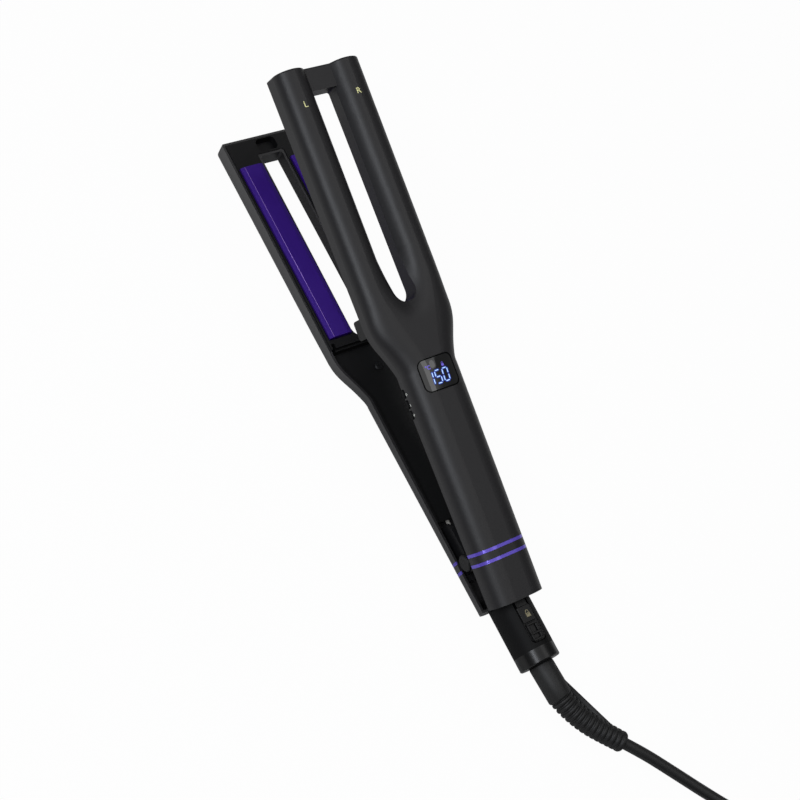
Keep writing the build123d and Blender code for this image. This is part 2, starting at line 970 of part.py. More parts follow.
def button(name, x):
    """A side button: a rounded cap through the shell's wall, a flange behind it and a stem."""
    wide = half_width(x)
    low = rim(x) - button_drop
    middle = low + button_height / 2
    back = wide - shell_wall - button_gap - button_flange
    with BuildPart() as body:
        with BuildSketch(Plane.XZ.offset(-back)):
            with Locations((x, middle)):
                RectangleRounded(button_length, button_height, button_height / 2 - 0.1)
        extrude(amount=-(wide + button_proud - back))
        chamfer(body.faces().sort_by(Axis.Y)[-1].edges(), 0.3)
        with BuildSketch(Plane.XZ.offset(-back)):
            with Locations((x, middle)):
                RectangleRounded(button_length + 0.6, button_height + 0.3, 0.8)
        extrude(amount=-button_flange)
        with BuildSketch(Plane.XZ.offset(-back)):
            with Locations((x, middle)):
                Circle(0.8)
        extrude(amount=back - switch_face[name] - switch_gap)
    return body.part


for name, place in button_places:
    kept(button(name, place), name, upper_place)

latch_low = tongue_top + latch_gap
inner_half = half_width(latch_back) - shell_wall
with BuildPart() as latch_bar:
    add(
        block(
            latch_back,
            latch_back + latch_length,
            -inner_half,
            inner_half,
            latch_low,
            latch_low + latch_height,
        )
    )
    add(arm_body(shell_wall, -hinge_to_tail, tip_to_hinge), mode=Mode.INTERSECT)
kept(latch_bar.part, "latch_bar", upper_place)


# Neck: two half tubes, the upper one with the lock slider's channel
def neck_ring(radius, start, end):
    with BuildPart() as tube:
        with BuildSketch(Plane.YZ.offset(start)):
            with Locations((0, -neck_drop)):
                Circle(radius)
        extrude(amount=end - start)
    return tube.part


neck_bore = neck_radius - neck_wall
spigot_bore = spigot_radius - neck_wall
collar_end = -neck_end - collar_length
seam = Plane.XY.offset(-neck_drop)
with BuildPart() as neck_lower:
    add(neck_ring(neck_radius, -neck_end, -hinge_to_tail))
    add(neck_ring(spigot_radius, -hinge_to_tail, -hinge_to_tail + spigot_length))
    add(neck_ring(spigot_bore, -neck_end - 1, -hinge_to_tail + spigot_length + 1), mode=Mode.SUBTRACT)
    add(neck_ring(neck_bore, -neck_end - 1, -hinge_to_tail - 4), mode=Mode.SUBTRACT)
    split(bisect_by=seam, keep=Keep.BOTTOM)
kept(neck_lower.part, "neck_lower", lower_place)


def channel_trough():
    """The floor and side walls that carry the slider inside the neck cover."""
    side = channel_width / 2 + channel_floor_thickness
    floor_under = channel_floor - channel_floor_thickness
    back = -channel_end - channel_floor_thickness
    with BuildPart() as trough:
        add(block(back, -neck_cover_start, -side, side, floor_under, channel_top))
        add(neck_ring(neck_radius, -neck_end, -neck_cover_start), mode=Mode.INTERSECT)
    return trough.part


with BuildPart() as neck_cover:
    add(neck_ring(neck_radius, -neck_end, -neck_cover_start))
    add(neck_ring(neck_bore, -neck_end - 1, -neck_cover_start + 1), mode=Mode.SUBTRACT)
    add(channel_trough())
    with BuildSketch(Plane.XY.offset(channel_floor)) as channel:
        length = channel_end - neck_cover_start + 5
        with Locations((-channel_end + length / 2, 0)):
            Rectangle(length, channel_width)
        fillet(channel.vertices().group_by(Axis.X)[0], channel_round)
    extrude(amount=far, mode=Mode.SUBTRACT)
    with BuildSketch(Plane.XY.offset(0)):
        clip_start = -slider_end + 4 - 0.5
        clip_run = clip_length + slider_travel + 1
        with Locations((clip_start + clip_run / 2, 0)):
            Rectangle(clip_run, clip_width + 0.5)
    extrude(amount=channel_floor + 1, mode=Mode.SUBTRACT)
    split(bisect_by=seam, keep=Keep.TOP)
kept(neck_cover.part, "neck_cover", lower_place)

with BuildPart() as neck_collar:
    add(neck_ring(neck_radius, collar_end, -neck_end))
    chamfer(neck_collar.edges().filter_by(GeomType.CIRCLE).group_by(Axis.X)[0], collar_chamfer)
    add(neck_ring(bush_radius + bush_running_gap, collar_end - 1, -neck_end + 1), mode=Mode.SUBTRACT)
kept(neck_collar.part, "neck_collar", lower_place)


# Lock slider
slider_base = channel_floor + slider_lift
with BuildPart() as lock_slider:
    add(block(-slider_end, -slider_front, -slider_width / 2, slider_width / 2, slider_base, slider_top))
    fillet(lock_slider.edges().filter_by(Axis.Z).group_by(Axis.X)[0], channel_round - 0.3)
    chamfer(lock_slider.edges().filter_by(Axis.Z).group_by(Axis.X)[-1], 1.8)
    for i in range(slider_ribs):
        x = -slider_end + rib_from_end + i * rib_pitch
        add(
            block(
                x,
                x + rib_width,
                rib_margin - slider_width / 2,
                slider_width / 2 - rib_margin,
                slider_top,
                slider_top + rib_height,
            )
        )
    add(
        block(
            -slider_front - 1,
            -neck_cover_start,
            -tongue_width / 2,
            tongue_width / 2,
            tongue_bottom,
            tongue_top - 0.2,
        )
    )
    clip_back = -slider_end + 4
    add(
        block(
            clip_back,
            clip_back + clip_length,
            -clip_width / 2,
            clip_width / 2,
            channel_floor - channel_floor_thickness - 0.3,
            slider_base,
        )
    )
    add(
        block(
            clip_back,
            clip_back + clip_length,
            -clip_head_width / 2,
            clip_head_width / 2,
            channel_floor - channel_floor_thickness - 0.2 - clip_head_height,
            channel_floor - channel_floor_thickness - 0.2,
        )
    )
kept(lock_slider.part, "lock_slider", lower_place)


# Swivel: the cord turns freely about the neck's axis
flange_back = -neck_end + brush_gap + bush_flange
with BuildPart() as swivel_bush:
    add(neck_ring(bush_flange_radius, -neck_end + brush_gap, flange_back))
    add(neck_ring(bush_radius, -neck_end - collar_length - guard_gap, -neck_end + brush_gap))
    add(neck_ring(bush_bore, -far, far), mode=Mode.SUBTRACT)
kept(swivel_bush.part, "swivel_bush", lower_place)

with BuildPart() as swivel_contacts:
    for outer_radius in (bush_flange_radius - 2.4, bush_flange_radius - 0.2):
        with BuildSketch(Plane.YZ.offset(flange_back)):
            with Locations((0, -neck_drop)):
                Circle(outer_radius)
                Circle(outer_radius - 1.4, mode=Mode.SUBTRACT)
        extrude(amount=contact_thickness)
kept(swivel_contacts.part, "swivel_contacts", lower_place)

brush_face = flange_back + contact_thickness + brush_gap
with BuildPart() as brush_block:
    add(neck_ring(neck_bore - 0.1, brush_face, brush_face + brush_thickness))
    split(bisect_by=Plane.XY.offset(clip_head_height - 1.2), keep=Keep.BOTTOM)
kept(brush_block.part, "brush_block", lower_place)


# Leads inside the arms
def lead_pair(points, bends):
    """Two insulated wires side by side, along straight runs joined by arcs."""
    with BuildPart() as wires:
        for sign in (-1, 1):
            route = [Vector(x, sign * y, z) for x, y, z in points]
            with BuildLine() as path:
                FilletPolyline(*route, radius=bends)
            with BuildSketch(Plane(origin=route[0], z_dir=route[1] - route[0])):
                RegularPolygon(lead_radius, 8)
            sweep(path=path.wires()[0])
    return wires.part


supply_points = [
    (brush_face + brush_thickness, lead_spread, -neck_drop - 2),
    (-hinge_to_tail + spigot_length - 2, lead_spread, -neck_drop - 2),
    (-bracket_tail - 2, lead_spread, -bracket_back - 2.2),
    (shoulder_back + 20, lead_spread, -bracket_back - 2.2),
    (plate_back + 12, barrel_centre - 2, -bracket_back),
]
kept(lead_pair(supply_points, 7.0), "supply_leads", lower_place)
board_points = [
    (board_end, lead_spread, board_face - board_thickness / 2 + 1.8),
    (board_end + 8, lead_spread, board_face + 1.2),
    (plate_back + 12, barrel_centre - 2, bracket_back),
]
kept(lead_pair(board_points, 6.0), "heater_leads", upper_place)


# Cord guard: a smooth root, then ribs along a bend down to the table
def turn_radii(route):
    """An arc for each corner of a route, from 0.45 of the shorter run and the tangent of half the turn."""
    radii = []
    for a, b, c in zip(route, route[1:], route[2:]):
        half = radians((b - a).get_angle(c - b)) / 2
        radii.append(0.45 * min((b - a).length, (c - b).length) / tan(half))
    return radii


def tube(route, radius, bends):
    """A plain round tube along a route, and its path."""
    with BuildPart() as body:
        with BuildLine() as path:
            FilletPolyline(*route, radius=bends)
        with BuildSketch(Plane(origin=route[0], z_dir=route[1] - route[0])):
            Circle(radius)
        sweep()
    wire = path.wires()[0]
    share = body.part.volume / (pi * radius * radius * wire.length)
    rounded = [round(r, 1) for r in bends]
    print("tube: length", round(wire.length, 1), "radii", rounded, "volume share", round(share, 4))
    return body.part, wire


def is_rim(edge):
    """Whether an edge is a whole circle round the end of the guard's root."""
    return edge.length > 2 * pi * (guard_root_radius - 0.1)


collar_face = hinge_x - neck_end - collar_length
guard_height = hinge_z - neck_drop
guard_route = [
    Vector(collar_face - guard_gap, 0, guard_height),
    Vector(-180.0, 0, guard_height),
    Vector(-191.0, -2.8, 10.4),
    Vector(-203.0, -9.3, 8.8),
    Vector(-212.5, -17.0, 7.7),
    Vector(-221.0, -24.5, 7.0),
]
guard_bends = turn_radii(guard_route)
guard_core, guard_wire = tube(guard_route, guard_core_radius, guard_bends)
root_route = guard_route[:2] + [guard_route[1] * 0.45 + guard_route[2] * 0.55]
guard_root, root_wire = tube(root_route, guard_root_radius, guard_bends[:1])
rib_span = 1 - (root_wire.length + guard_rib_width / 2) / guard_wire.length
with BuildPart() as cord_guard:
    add(guard_root)
    fillet(cord_guard.edges().filter_by(GeomType.CIRCLE).filter_by(is_rim), guard_root_round)
    add(guard_core)
    for i in range(guard_ribs):
        share = 1 - rib_span + rib_span * (i + 0.5) / guard_ribs
        centre = guard_wire.position_at(share)
        along = guard_wire.tangent_at(share)
        with BuildSketch(Plane(origin=centre - along * (guard_rib_width / 2), z_dir=along)):
            Circle(guard_rib_radius - guard_rib_taper * i)
        extrude(amount=guard_rib_width)
kept(cord_guard.part, "cord_guard", row_place)


# Cord: the stretch from the guard to its coil, then the coil, then the short end to the plug
cord_radius = cord_diameter / 2
low_layer = tie_thickness + tie_gap + cord_radius
layer_rise = cord_diameter + turn_gap
cord_route = [
    guard_route[-1],
    guard_route[-1] + (guard_route[-1] - guard_route[-2]) * 1.15,
    Vector(-246.0, -44.5, 4.6),
    Vector(-267.0, -59.2, 3.5),
    Vector(-287.0, -73.0, low_layer),
    Vector(-303.0, -84.6, low_layer),
]
cord_part, cord_wire = tube(cord_route, cord_radius, turn_radii(cord_route))
kept(cord_part, "cord", row_place)

entry = cord_route[-1]
heading = (entry - cord_route[-2]).normalized()
inward = Vector(heading.Y, -heading.X, 0)
coil_edges = []
here, side, ahead = entry, inward, heading
turn_pitch = cord_diameter + turn_gap
inner = [coil_radius - k * turn_pitch / 2 for k in range(coil_inner_half_turns)]
radii = inner + [inner[-1] - turn_pitch / 2] + inner[:0:-1]
for k, radius in enumerate(radii):
    climb = Vector(0, 0, layer_rise) if k == coil_inner_half_turns else Vector(0, 0, 0)
    arc, here = half_turn(here, side, ahead, radius, climb)
    coil_edges.append(arc)
    side, ahead = side * -1, ahead * -1
with BuildPart() as cord_coil:
    with BuildLine() as coil_path:
        for edge in coil_edges:
            add(edge)
    with BuildSketch(Plane(origin=entry, z_dir=heading)):
        RegularPolygon(cord_radius, 8)
    sweep()
coil_length = sum(edge.length for edge in coil_edges)
print("coil: length", round(coil_length, 1), "least gap", round(least_gap(coil_edges, cord_diameter, 12), 2))
kept(cord_coil.part, "cord_coil", row_place)

tail_start = here
plug_drop = plug_thickness / 2 - tail_start.Z
tail_steps = [
    (0, 0, 0),
    (16.0, 0, 0),
    (39.2, 11.8, 0),
    (54.5, 32.8, -0.6),
    (65.8, 46.8, plug_drop),
    (75.0, 57.3, plug_drop),
]
tail_route = [tail_start + ahead * a + inward * b + Vector(0, 0, c) for a, b, c in tail_steps]
tail_part, tail_wire = tube(tail_route, cord_radius, turn_radii(tail_route))
kept(tail_part, "cord_tail", row_place)
print("cord: whole length", round(cord_wire.length + coil_length + tail_wire.length, 1))

# Tie round the coil, on the side away from the entry
coil_centre = entry + inward * coil_radius
bundle = coil_inner_half_turns / 2 * turn_pitch + cord_diameter
tie_centre = coil_centre + inward * (coil_radius + cord_radius - bundle / 2)
with BuildPart() as cord_tie:
    with BuildSketch(Plane(origin=tie_centre - heading * (tie_width / 2), x_dir=inward * -1, z_dir=heading)):
        with Locations((0, low_layer + layer_rise / 2 - tie_centre.Z)):
            height = layer_rise + cord_diameter + 2 * tie_gap
            RectangleRounded(bundle + 2 * tie_gap + 2 * tie_thickness, height + 2 * tie_thickness, 3.4)
            RectangleRounded(bundle + 2 * tie_gap, height, 2.8, mode=Mode.SUBTRACT)
    extrude(amount=tie_width)
kept(cord_tie.part, "cord_tie", row_place)

# Plug: a flat two-pin body with a short tapered tail, beside the coil
plug_axis = (tail_route[-1] - tail_route[-2]).normalized()
plug_plane = Plane(origin=tail_route[-1], x_dir=Vector(-plug_axis.Y, plug_axis.X, 0), z_dir=plug_axis)
plug_shoulder = plug_plane.offset(plug_boot_length + plug_shoulder_length)
plug_face = plug_plane.offset(plug_boot_length + plug_shoulder_length + plug_block_length)
plug_corner = 0.45 * plug_thickness
with BuildPart() as plug_body:
    with BuildSketch(plug_plane):
        Circle(plug_boot_radius)
    with BuildSketch(plug_plane.offset(plug_boot_length)):
        RectangleRounded(0.5 * plug_width, 0.8 * plug_thickness, 0.3 * plug_thickness)
    with BuildSketch(plug_shoulder):
        RectangleRounded(0.92 * plug_width, plug_thickness, plug_corner)
    loft(ruled=True)
    with BuildSketch(plug_shoulder):
        RectangleRounded(plug_width, plug_thickness, plug_corner)
    extrude(amount=plug_block_length)
kept(plug_body.part, "plug_body", row_place)

with BuildPart() as plug_pins:
    with BuildSketch(plug_face):
        with Locations((-pin_spacing / 2, 0), (pin_spacing / 2, 0)):
            Circle(plug_pin_radius)
    extrude(amount=plug_pin_length)
    pin_circles = plug_pins.edges().filter_by(GeomType.CIRCLE).sort_by(Axis(plug_face.origin, plug_axis))
    chamfer(pin_circles[-2:], plug_pin_chamfer)
kept(plug_pins.part, "plug_pins", row_place)

pin_start = plug_face.origin
pin_starts = [pin_start + plug_plane.x_dir * (s * pin_spacing / 2) for s in (-1, 1)]
print("plug pins at", [tuple(p) for p in pin_starts], "axis", tuple(plug_axis))
print("cord route", [tuple(round(c, 2) for c in p) for p in cord_route])
print("tail route", [tuple(round(c, 2) for c in p) for p in tail_route])
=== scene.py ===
# %% [markdown]
# # A hair straightener with two forked arms
# The engineering model is already exact, so nothing here moves or resizes it. This script adds what an
# engineering model lacks: a cord that lies as rubber does, small marks and signs, and a finish for every
# surface. It begins by loading that model as a fixed frame.

# %% Load the engineering model
from math import cos, pi, radians, sin

import bmesh
import bpy
from mathutils import Matrix, Vector
from mathutils.bvhtree import BVHTree


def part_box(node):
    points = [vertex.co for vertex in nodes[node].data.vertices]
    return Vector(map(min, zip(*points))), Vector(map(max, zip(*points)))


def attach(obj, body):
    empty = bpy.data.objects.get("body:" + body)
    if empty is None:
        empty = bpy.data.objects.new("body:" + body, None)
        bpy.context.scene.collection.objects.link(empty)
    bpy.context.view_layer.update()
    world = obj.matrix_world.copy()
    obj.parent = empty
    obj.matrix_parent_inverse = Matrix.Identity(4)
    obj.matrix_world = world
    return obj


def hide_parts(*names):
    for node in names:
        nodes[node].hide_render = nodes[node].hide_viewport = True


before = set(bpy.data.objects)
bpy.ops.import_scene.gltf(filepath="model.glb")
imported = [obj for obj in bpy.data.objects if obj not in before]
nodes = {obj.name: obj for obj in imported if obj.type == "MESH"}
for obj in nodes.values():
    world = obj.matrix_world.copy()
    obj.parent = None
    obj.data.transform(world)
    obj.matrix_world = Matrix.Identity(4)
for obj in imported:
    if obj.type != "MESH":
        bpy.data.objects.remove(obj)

mm = 0.001
scene = bpy.context.scene
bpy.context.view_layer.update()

# %% [markdown]
# ## Camera
# A product picture is taken from far off with a long lens, so that the near and far ends keep their
# proportions. The camera looks down on the straightener from its left, about 57 degrees above the table.
# Its place and its three directions are written out, because they were fitted to the picture's corners.

# %% Place the camera
camera_data = bpy.data.cameras.new("camera")
camera_data.sensor_width = 36
camera_data.lens = 74.315
camera_data.shift_x = -0.05539
camera_data.shift_y = 0.09597
camera = bpy.data.objects.new("camera", camera_data)
eye = Vector((-218.91, 452.95, 752.24)) * mm
right = Vector((-0.463509, -0.79736, 0.386493))
upward = Vector((0.86618, -0.315773, 0.387323))
backward = Vector((-0.186791, 0.5143, 0.837021))
turn = Matrix((right, upward, backward)).transposed().to_4x4()
camera.matrix_world = Matrix.Translation(eye) @ turn
scene.collection.objects.link(camera)
scene.camera = camera
scene.view_settings.view_transform = "Standard"
print("camera distance", round(eye.length, 3), "m, lens", camera_data.lens, "mm")

# %% [markdown]
# ## Maths for finishes
# A finish is a tree of small nodes. Written one by one they hide the idea, so a field stands for the
# output of a node, and plus, minus, times and divide between fields add the Math nodes. A finish has one
# method for every other kind of node.

# %% A field of numbers over a surface
class Field:
    """An output in a finish's tree. Sums and products of fields are new fields."""

    def __init__(self, finish, socket):
        self.finish = finish
        self.socket = socket

    def maths(self, operation, first, second):
        return self.finish.node("ShaderNodeMath", {"operation": operation}, {0: first, 1: second})

    def __add__(self, other):
        return self.maths("ADD", self, other)

    def __radd__(self, other):
        return self.maths("ADD", other, self)

    def __sub__(self, other):
        return self.maths("SUBTRACT", self, other)

    def __rsub__(self, other):
        return self.maths("SUBTRACT", other, self)

    def __mul__(self, other):
        return self.maths("MULTIPLY", self, other)

    def __rmul__(self, other):
        return self.maths("MULTIPLY", other, self)

    def __gt__(self, other):
        return self.maths("GREATER_THAN", self, other)

    def __lt__(self, other):
        return self.maths("LESS_THAN", self, other)


# %% Colours
def shade(red, green, blue):
    """A colour as a painter's chart gives it, from 0 to 255, made linear for the shader."""
    parts = [channel / 255 for channel in (red, green, blue)]
    linear = [part / 12.92 if part <= 0.04045 else ((part + 0.055) / 1.055) ** 2.4 for part in parts]
    return (*linear, 1.0)


def scaled(tint, factor):
    """The same colour, lighter or darker by that factor."""
    return tuple(factor * part for part in tint[:3]) + (1,)


# %% A finish and its node tree
class Finish:
    """A material with one shader. Constants go on the shader's own sockets."""

    def __init__(self, name, **constants):
        self.material = bpy.data.materials.new(name)
        self.material.use_nodes = True
        self.tree = self.material.node_tree
        self.shader = self.tree.nodes["Principled BSDF"]
        for socket, value in constants.items():
            self.wear(socket.replace("_", " ").title().replace("Ior", "IOR"), value)

    def feed(self, socket, value):
        if isinstance(value, Field):
            self.tree.links.new(value.socket, socket)
        else:
            socket.default_value = value

    def wear(self, socket, value):
        """Give one of the shader's own sockets a value or a field."""
        self.feed(self.shader.inputs[socket], value)

    def node(self, kind, settings=None, values=None, output=0):
        made = self.tree.nodes.new(kind)
        for name, value in (settings or {}).items():
            setattr(made, name, value)
        for socket, value in (values or {}).items():
            self.feed(made.inputs[socket], value)
        return Field(self, made.outputs[output])

    def place(self, stretch=(1, 1, 1), tilt=(0, 0, 0)):
        """The point of the surface in metres, turned and stretched."""
        point = self.node("ShaderNodeTexCoord", output="Object")
        values = {"Vector": point, "Rotation": tilt, "Scale": stretch}
        return self.node("ShaderNodeMapping", {"vector_type": "POINT"}, values)

    def noise(self, size, detail=2.0, where=None):
        """Soft random spots of about that size, from 0 to 1."""
        values = {"Vector": where or self.place(), "Scale": 1 / size, "Detail": detail}
        return self.node("ShaderNodeTexNoise", {}, values)

    def blend(self, share, first, second):
        """One colour or another, by a share from 0 to 1."""
        return self.node("ShaderNodeMix", {"data_type": "RGBA"}, {0: share, 6: first, 7: second}, output=2)

    def relief(self, height, depth):
        """Bumps of that depth in metres, where height goes from 0 to 1."""
        bump = self.node("ShaderNodeBump", {}, {"Strength": 1.0, "Distance": depth, "Height": height})
        self.wear("Normal", bump)


# %% [markdown]
# No real surface has one flat colour. Most finishes below only need soft spots between two near tints, so
# one helper makes them, and it can raise the same spots as a relief.

# %% A finish in two tints
def mottled(name, spot_size, dark, light, detail=3, depth=0.0, **constants):
    """A finish whose colour varies softly between two tints. Its spots can stand in relief."""
    finish = Finish(name, **constants)
    spots = finish.noise(spot_size, detail=detail)
    finish.wear("Base Color", finish.blend(spots, dark, light))
    if depth:
        finish.relief(spots, depth)
    return finish


# %% [markdown]
# ## Floor and light
# The picture was cut out on white. A white floor that the camera sees mostly as its own colour gives that,
# and a part of its true shading is kept, so that a pale shadow holds the straightener down. A glossy
# surface sees the floor as well: white beside the straightener, and dim right below it, in its own shade.

# %% Lay the floor
floor_half_side = 1.2
floor_mesh = bmesh.new()
bmesh.ops.create_grid(floor_mesh, x_segments=1, y_segments=1, size=floor_half_side)
floor_data = bpy.data.meshes.new("floor")
floor_mesh.to_mesh(floor_data)
floor_mesh.free()
floor = bpy.data.objects.new("floor", floor_data)
scene.collection.objects.link(floor)
print("floor:", 2 * floor_half_side, "m square")

# %% [markdown]
# The floor could be lit until it is white, but then the straightener would be lit from below as well. So it
# is mixed from a grey paper, which takes the shadow, and a glowing card, and each kind of ray gets its own
# share of the two.

# %% Paint the floor
paper_greys = (shade(176, 176, 176), shade(182, 182, 182))
paper = mottled("floor_paper", 0.004, *paper_greys, roughness=0.9, specular_ior_level=0.1)
shaded = Field(paper, paper.shader.outputs["BSDF"])
white_card = paper.node("ShaderNodeEmission", {}, {"Color": (1, 1, 1, 1), "Strength": 1.02})
seen = paper.node("ShaderNodeLightPath", output="Is Camera Ray")
mirrored = paper.node("ShaderNodeLightPath", output="Is Glossy Ray")

middle_offset = 0.012
dim_half_width, open_half_width = 0.034, 0.05
dim_share, open_share, seen_share = 0.1, 0.52, 0.95
along_y = paper.node("ShaderNodeSeparateXYZ", {}, {0: paper.place()}, output=1)
from_middle = paper.node("ShaderNodeMath", {"operation": "ABSOLUTE"}, {0: along_y + middle_offset})
limits = {0: from_middle, 1: dim_half_width, 2: open_half_width, 3: dim_share, 4: open_share}
in_the_open = paper.node("ShaderNodeMapRange", {"interpolation_type": "SMOOTHSTEP"}, limits)
card_share = seen * seen_share + mirrored * in_the_open
floor_surface = paper.node("ShaderNodeMixShader", {}, {0: card_share, 1: shaded, 2: white_card})
paper.tree.links.new(floor_surface.socket, paper.tree.nodes["Material Output"].inputs["Surface"])
floor.data.materials.append(paper.material)
print("floor mirrored:", dim_share, "of white below the straightener,", open_share, "beside it")

# %% [markdown]
# Black plastic shows its shape only by what it mirrors. A long narrow softbox on the left draws the one
# cool line along each barrel. A broad dim one overhead lifts the flat top of the handle and the display,
# and a third, beyond the right side, lights the crown beside that line.

# %% Hang the lights
def softbox(name, tip_end, handle_end, aim, width, watts, tint=(1, 1, 1)):
    """A long lamp between two points, turned about its length to face the aim."""
    tip_end, handle_end = Vector(tip_end), Vector(handle_end)
    spot = (tip_end + handle_end) / 2
    lamp = bpy.data.lights.new(name, "AREA")
    lamp.shape = "RECTANGLE"
    lamp.size = (tip_end - handle_end).length
    lamp.size_y = width
    lamp.energy = watts
    lamp.color = tint
    box = bpy.data.objects.new(name, lamp)
    along = (tip_end - handle_end).normalized()
    towards = spot - Vector(aim)
    back = (towards - along * towards.dot(along)).normalized()
    turn = Matrix((along, back.cross(along), back)).transposed().to_4x4()
    box.matrix_world = Matrix.Translation(spot) @ turn
    scene.collection.objects.link(box)
    print(f"{name}: {lamp.size:.2f} by {width:.2f} m, {watts} W")


softbox(
    "left_strip", tip_end=(0.42, 0.90, 0.78), handle_end=(-0.40, 0.65, 1.0), aim=(0, 0, 0.05),
    width=0.16, watts=6.4, tint=(0.90, 0.94, 1.0),
)
softbox(
    "crown_light", tip_end=(0.45, -0.41, 1.12), handle_end=(-0.62, -0.41, 1.12), aim=(-0.08, -0.41, 0),
    width=0.42, watts=1.3,
)
softbox(
    "overhead", tip_end=(0.5, 0.03, 1.15), handle_end=(-0.9, 0.03, 1.15), aim=(-0.2, 0.03, 0),
    width=1.442, watts=4.3,
)

# %% [markdown]
# The room itself gives a weak even light, and only the camera sees its walls as full white.

# %% Fill the room
fill = 0.16
more_for_the_camera = 0.84
room = bpy.data.worlds.new("room")
room.use_nodes = True
scene.world = room
air = room.node_tree.nodes["Background"]
air.inputs["Color"].default_value = (1, 1, 1, 1)
rays = room.node_tree.nodes.new("ShaderNodeLightPath")
lift = room.node_tree.nodes.new("ShaderNodeMath")
lift.operation = "MULTIPLY_ADD"
lift.inputs[1].default_value = more_for_the_camera
lift.inputs[2].default_value = fill
room.node_tree.links.new(rays.outputs["Is Camera Ray"], lift.inputs[0])
room.node_tree.links.new(lift.outputs[0], air.inputs["Strength"])
print("room light:", fill, "of white")

# %% [markdown]
# ## Cord
# A straightener has a long cord on a swivel. It leaves the ribbed guard, sinks to the table and, beyond
# the picture's corner, is wound into a tied coil with the plug beyond it. A curve of control points suits
# it better than a swept solid, because the line between few points is as smooth as rubber. Its lead out
# of the guard and its way to the plug are listed.

# %% Write down the cord's ends
cord_diameter = 6.4 * mm
coil_radius = 53.0 * mm
half_turns_in = 10
turn_pitch = 7.0 * mm
points_per_half_turn = 8
points_outside_by = 1 / 0.981

lead_out = [
    Vector((-221.0, -24.5, 7.0)),
    Vector((-230.78, -33.12, 6.2)),
    Vector((-246.0, -44.5, 4.6)),
    Vector((-267.0, -59.2, 3.5)),
    Vector((-287.0, -73.0, 4.5)),
    Vector((-303.0, -84.6, 4.5)),
]
to_plug = [
    Vector((-315.95, -93.99, 11.5)),
    Vector((-341.66, -98.06, 11.5)),
    Vector((-366.38, -90.03, 10.9)),
    Vector((-383.74, -85.33, 7.0)),
    Vector((-397.35, -82.23, 7.0)),
]
route = [point * mm for point in lead_out]
print("cord: laid by hand at", len(lead_out) + len(to_plug), "points")

# %% [markdown]
# The coil is a spiral of half turns that shrink towards the middle, a climb of a cord's thickness, and the
# same spiral outwards on top, so that both ends leave at the rim. Each half turn takes eight points, a
# little outside the turn, because the curve runs inside its points.

# %% Wind the coil
start = route[-1]
ahead = (route[-1] - route[-2]).normalized()
inward = Vector((ahead.y, -ahead.x, 0))
shrinking = [coil_radius - turn * turn_pitch / 2 for turn in range(half_turns_in)]
radii = shrinking + [shrinking[-1] - turn_pitch / 2] + shrinking[:0:-1]
for turn, radius in enumerate(radii):
    side = inward if turn % 2 == 0 else -inward
    forward = ahead if turn % 2 == 0 else -ahead
    climb = turn_pitch if turn == half_turns_in else 0.0
    middle = start + side * radius
    for step in range(points_per_half_turn):
        angle = pi * (step + 0.5) / points_per_half_turn
        reach = radius * points_outside_by
        rise = Vector((0, 0, climb * (1 - cos(angle)) / 2))
        route.append(middle - side * (reach * cos(angle)) + forward * (reach * sin(angle)) + rise)
    start = start + side * (2 * radius) + Vector((0, 0, climb))
route += [point * mm for point in to_plug]
print("coil:", len(radii), "half turns, least radius", round(min(radii) / mm, 1), "mm")

# %% [markdown]
# Every point carries the cord's radius, so the bevel's own depth is one.

# %% Draw the cord as a curve
def smooth_line(name, points, pieces_per_run, radius=0.0):
    """A smooth curve led by its control points, as a line or as a round rod of that radius."""
    line = bpy.data.curves.new(name, "CURVE")
    line.dimensions = "3D"
    line.resolution_u = pieces_per_run
    spline = line.splines.new("NURBS")
    spline.points.add(len(points) - 1)
    for control, point in zip(spline.points, points):
        control.co = (*point, 1.0)
        control.radius = radius
    spline.order_u = 3
    spline.use_endpoint_u = True
    return bpy.data.objects.new(name, line)


mains_cord = smooth_line("mains_cord", route, 5, cord_diameter / 2)
mains_cord.data.bevel_depth = 1.0
mains_cord.data.bevel_resolution = 4
mains_cord.data.use_fill_caps = True
scene.collection.objects.link(mains_cord)
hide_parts("cord", "cord_coil", "cord_tail")
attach(mains_cord, "swivel_cord")
print("cord:", len(route), "control points")

# %% [markdown]
# ## New pieces
# Every new piece goes the same way: a mesh becomes an object, gets its finish, and rides on the body that
# carries it in the engineering model, so that it moves with it.

# %% Helpers for finished pieces
def piece(name, body, finish, made, smooth=True):
    """Turn a bmesh into a piece that rides on a body and takes its finish from a slot."""
    data = bpy.data.meshes.new(name)
    made.to_mesh(data)
    made.free()
    thing = bpy.data.objects.new(name, data)
    scene.collection.objects.link(thing)
    for polygon in data.polygons:
        polygon.use_smooth = smooth
    data.materials.append(finish.material)
    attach(thing, body)
    return thing


def placed_box(made, size, spot=(0, 0, 0)):
    """A box of that size about a spot, added to a bmesh."""
    place = Matrix.Translation(spot) @ Matrix.Diagonal((*size, 1))
    return bmesh.ops.create_cube(made, size=1.0, matrix=place)["verts"]


def along_axis(edges, axis):
    """The edges that run along X, Y or Z, numbered 0, 1 or 2."""
    return [edge for edge in edges if abs((edge.verts[0].co - edge.verts[1].co).normalized()[axis]) > 0.99]


# %% [markdown]
# Cord and guard are soft vinyl, polished in patches by hands. The strap is woven, and its loops are too
# small to model, so a relief of noise stands for them.

# %% Rubber and strap finishes
def cord_rubber(name, tint, roughness):
    """Soft vinyl: fine grain, and patches where hands have polished it."""
    finish = Finish(name)
    patches = finish.noise(0.012, detail=3)
    grain = finish.noise(0.0004, detail=2)
    finish.wear("Base Color", finish.blend(patches, tint, scaled(tint, 1.35)))
    finish.wear("Roughness", roughness + 0.12 * patches + 0.05 * grain)
    finish.relief(grain, 0.00002)
    return finish


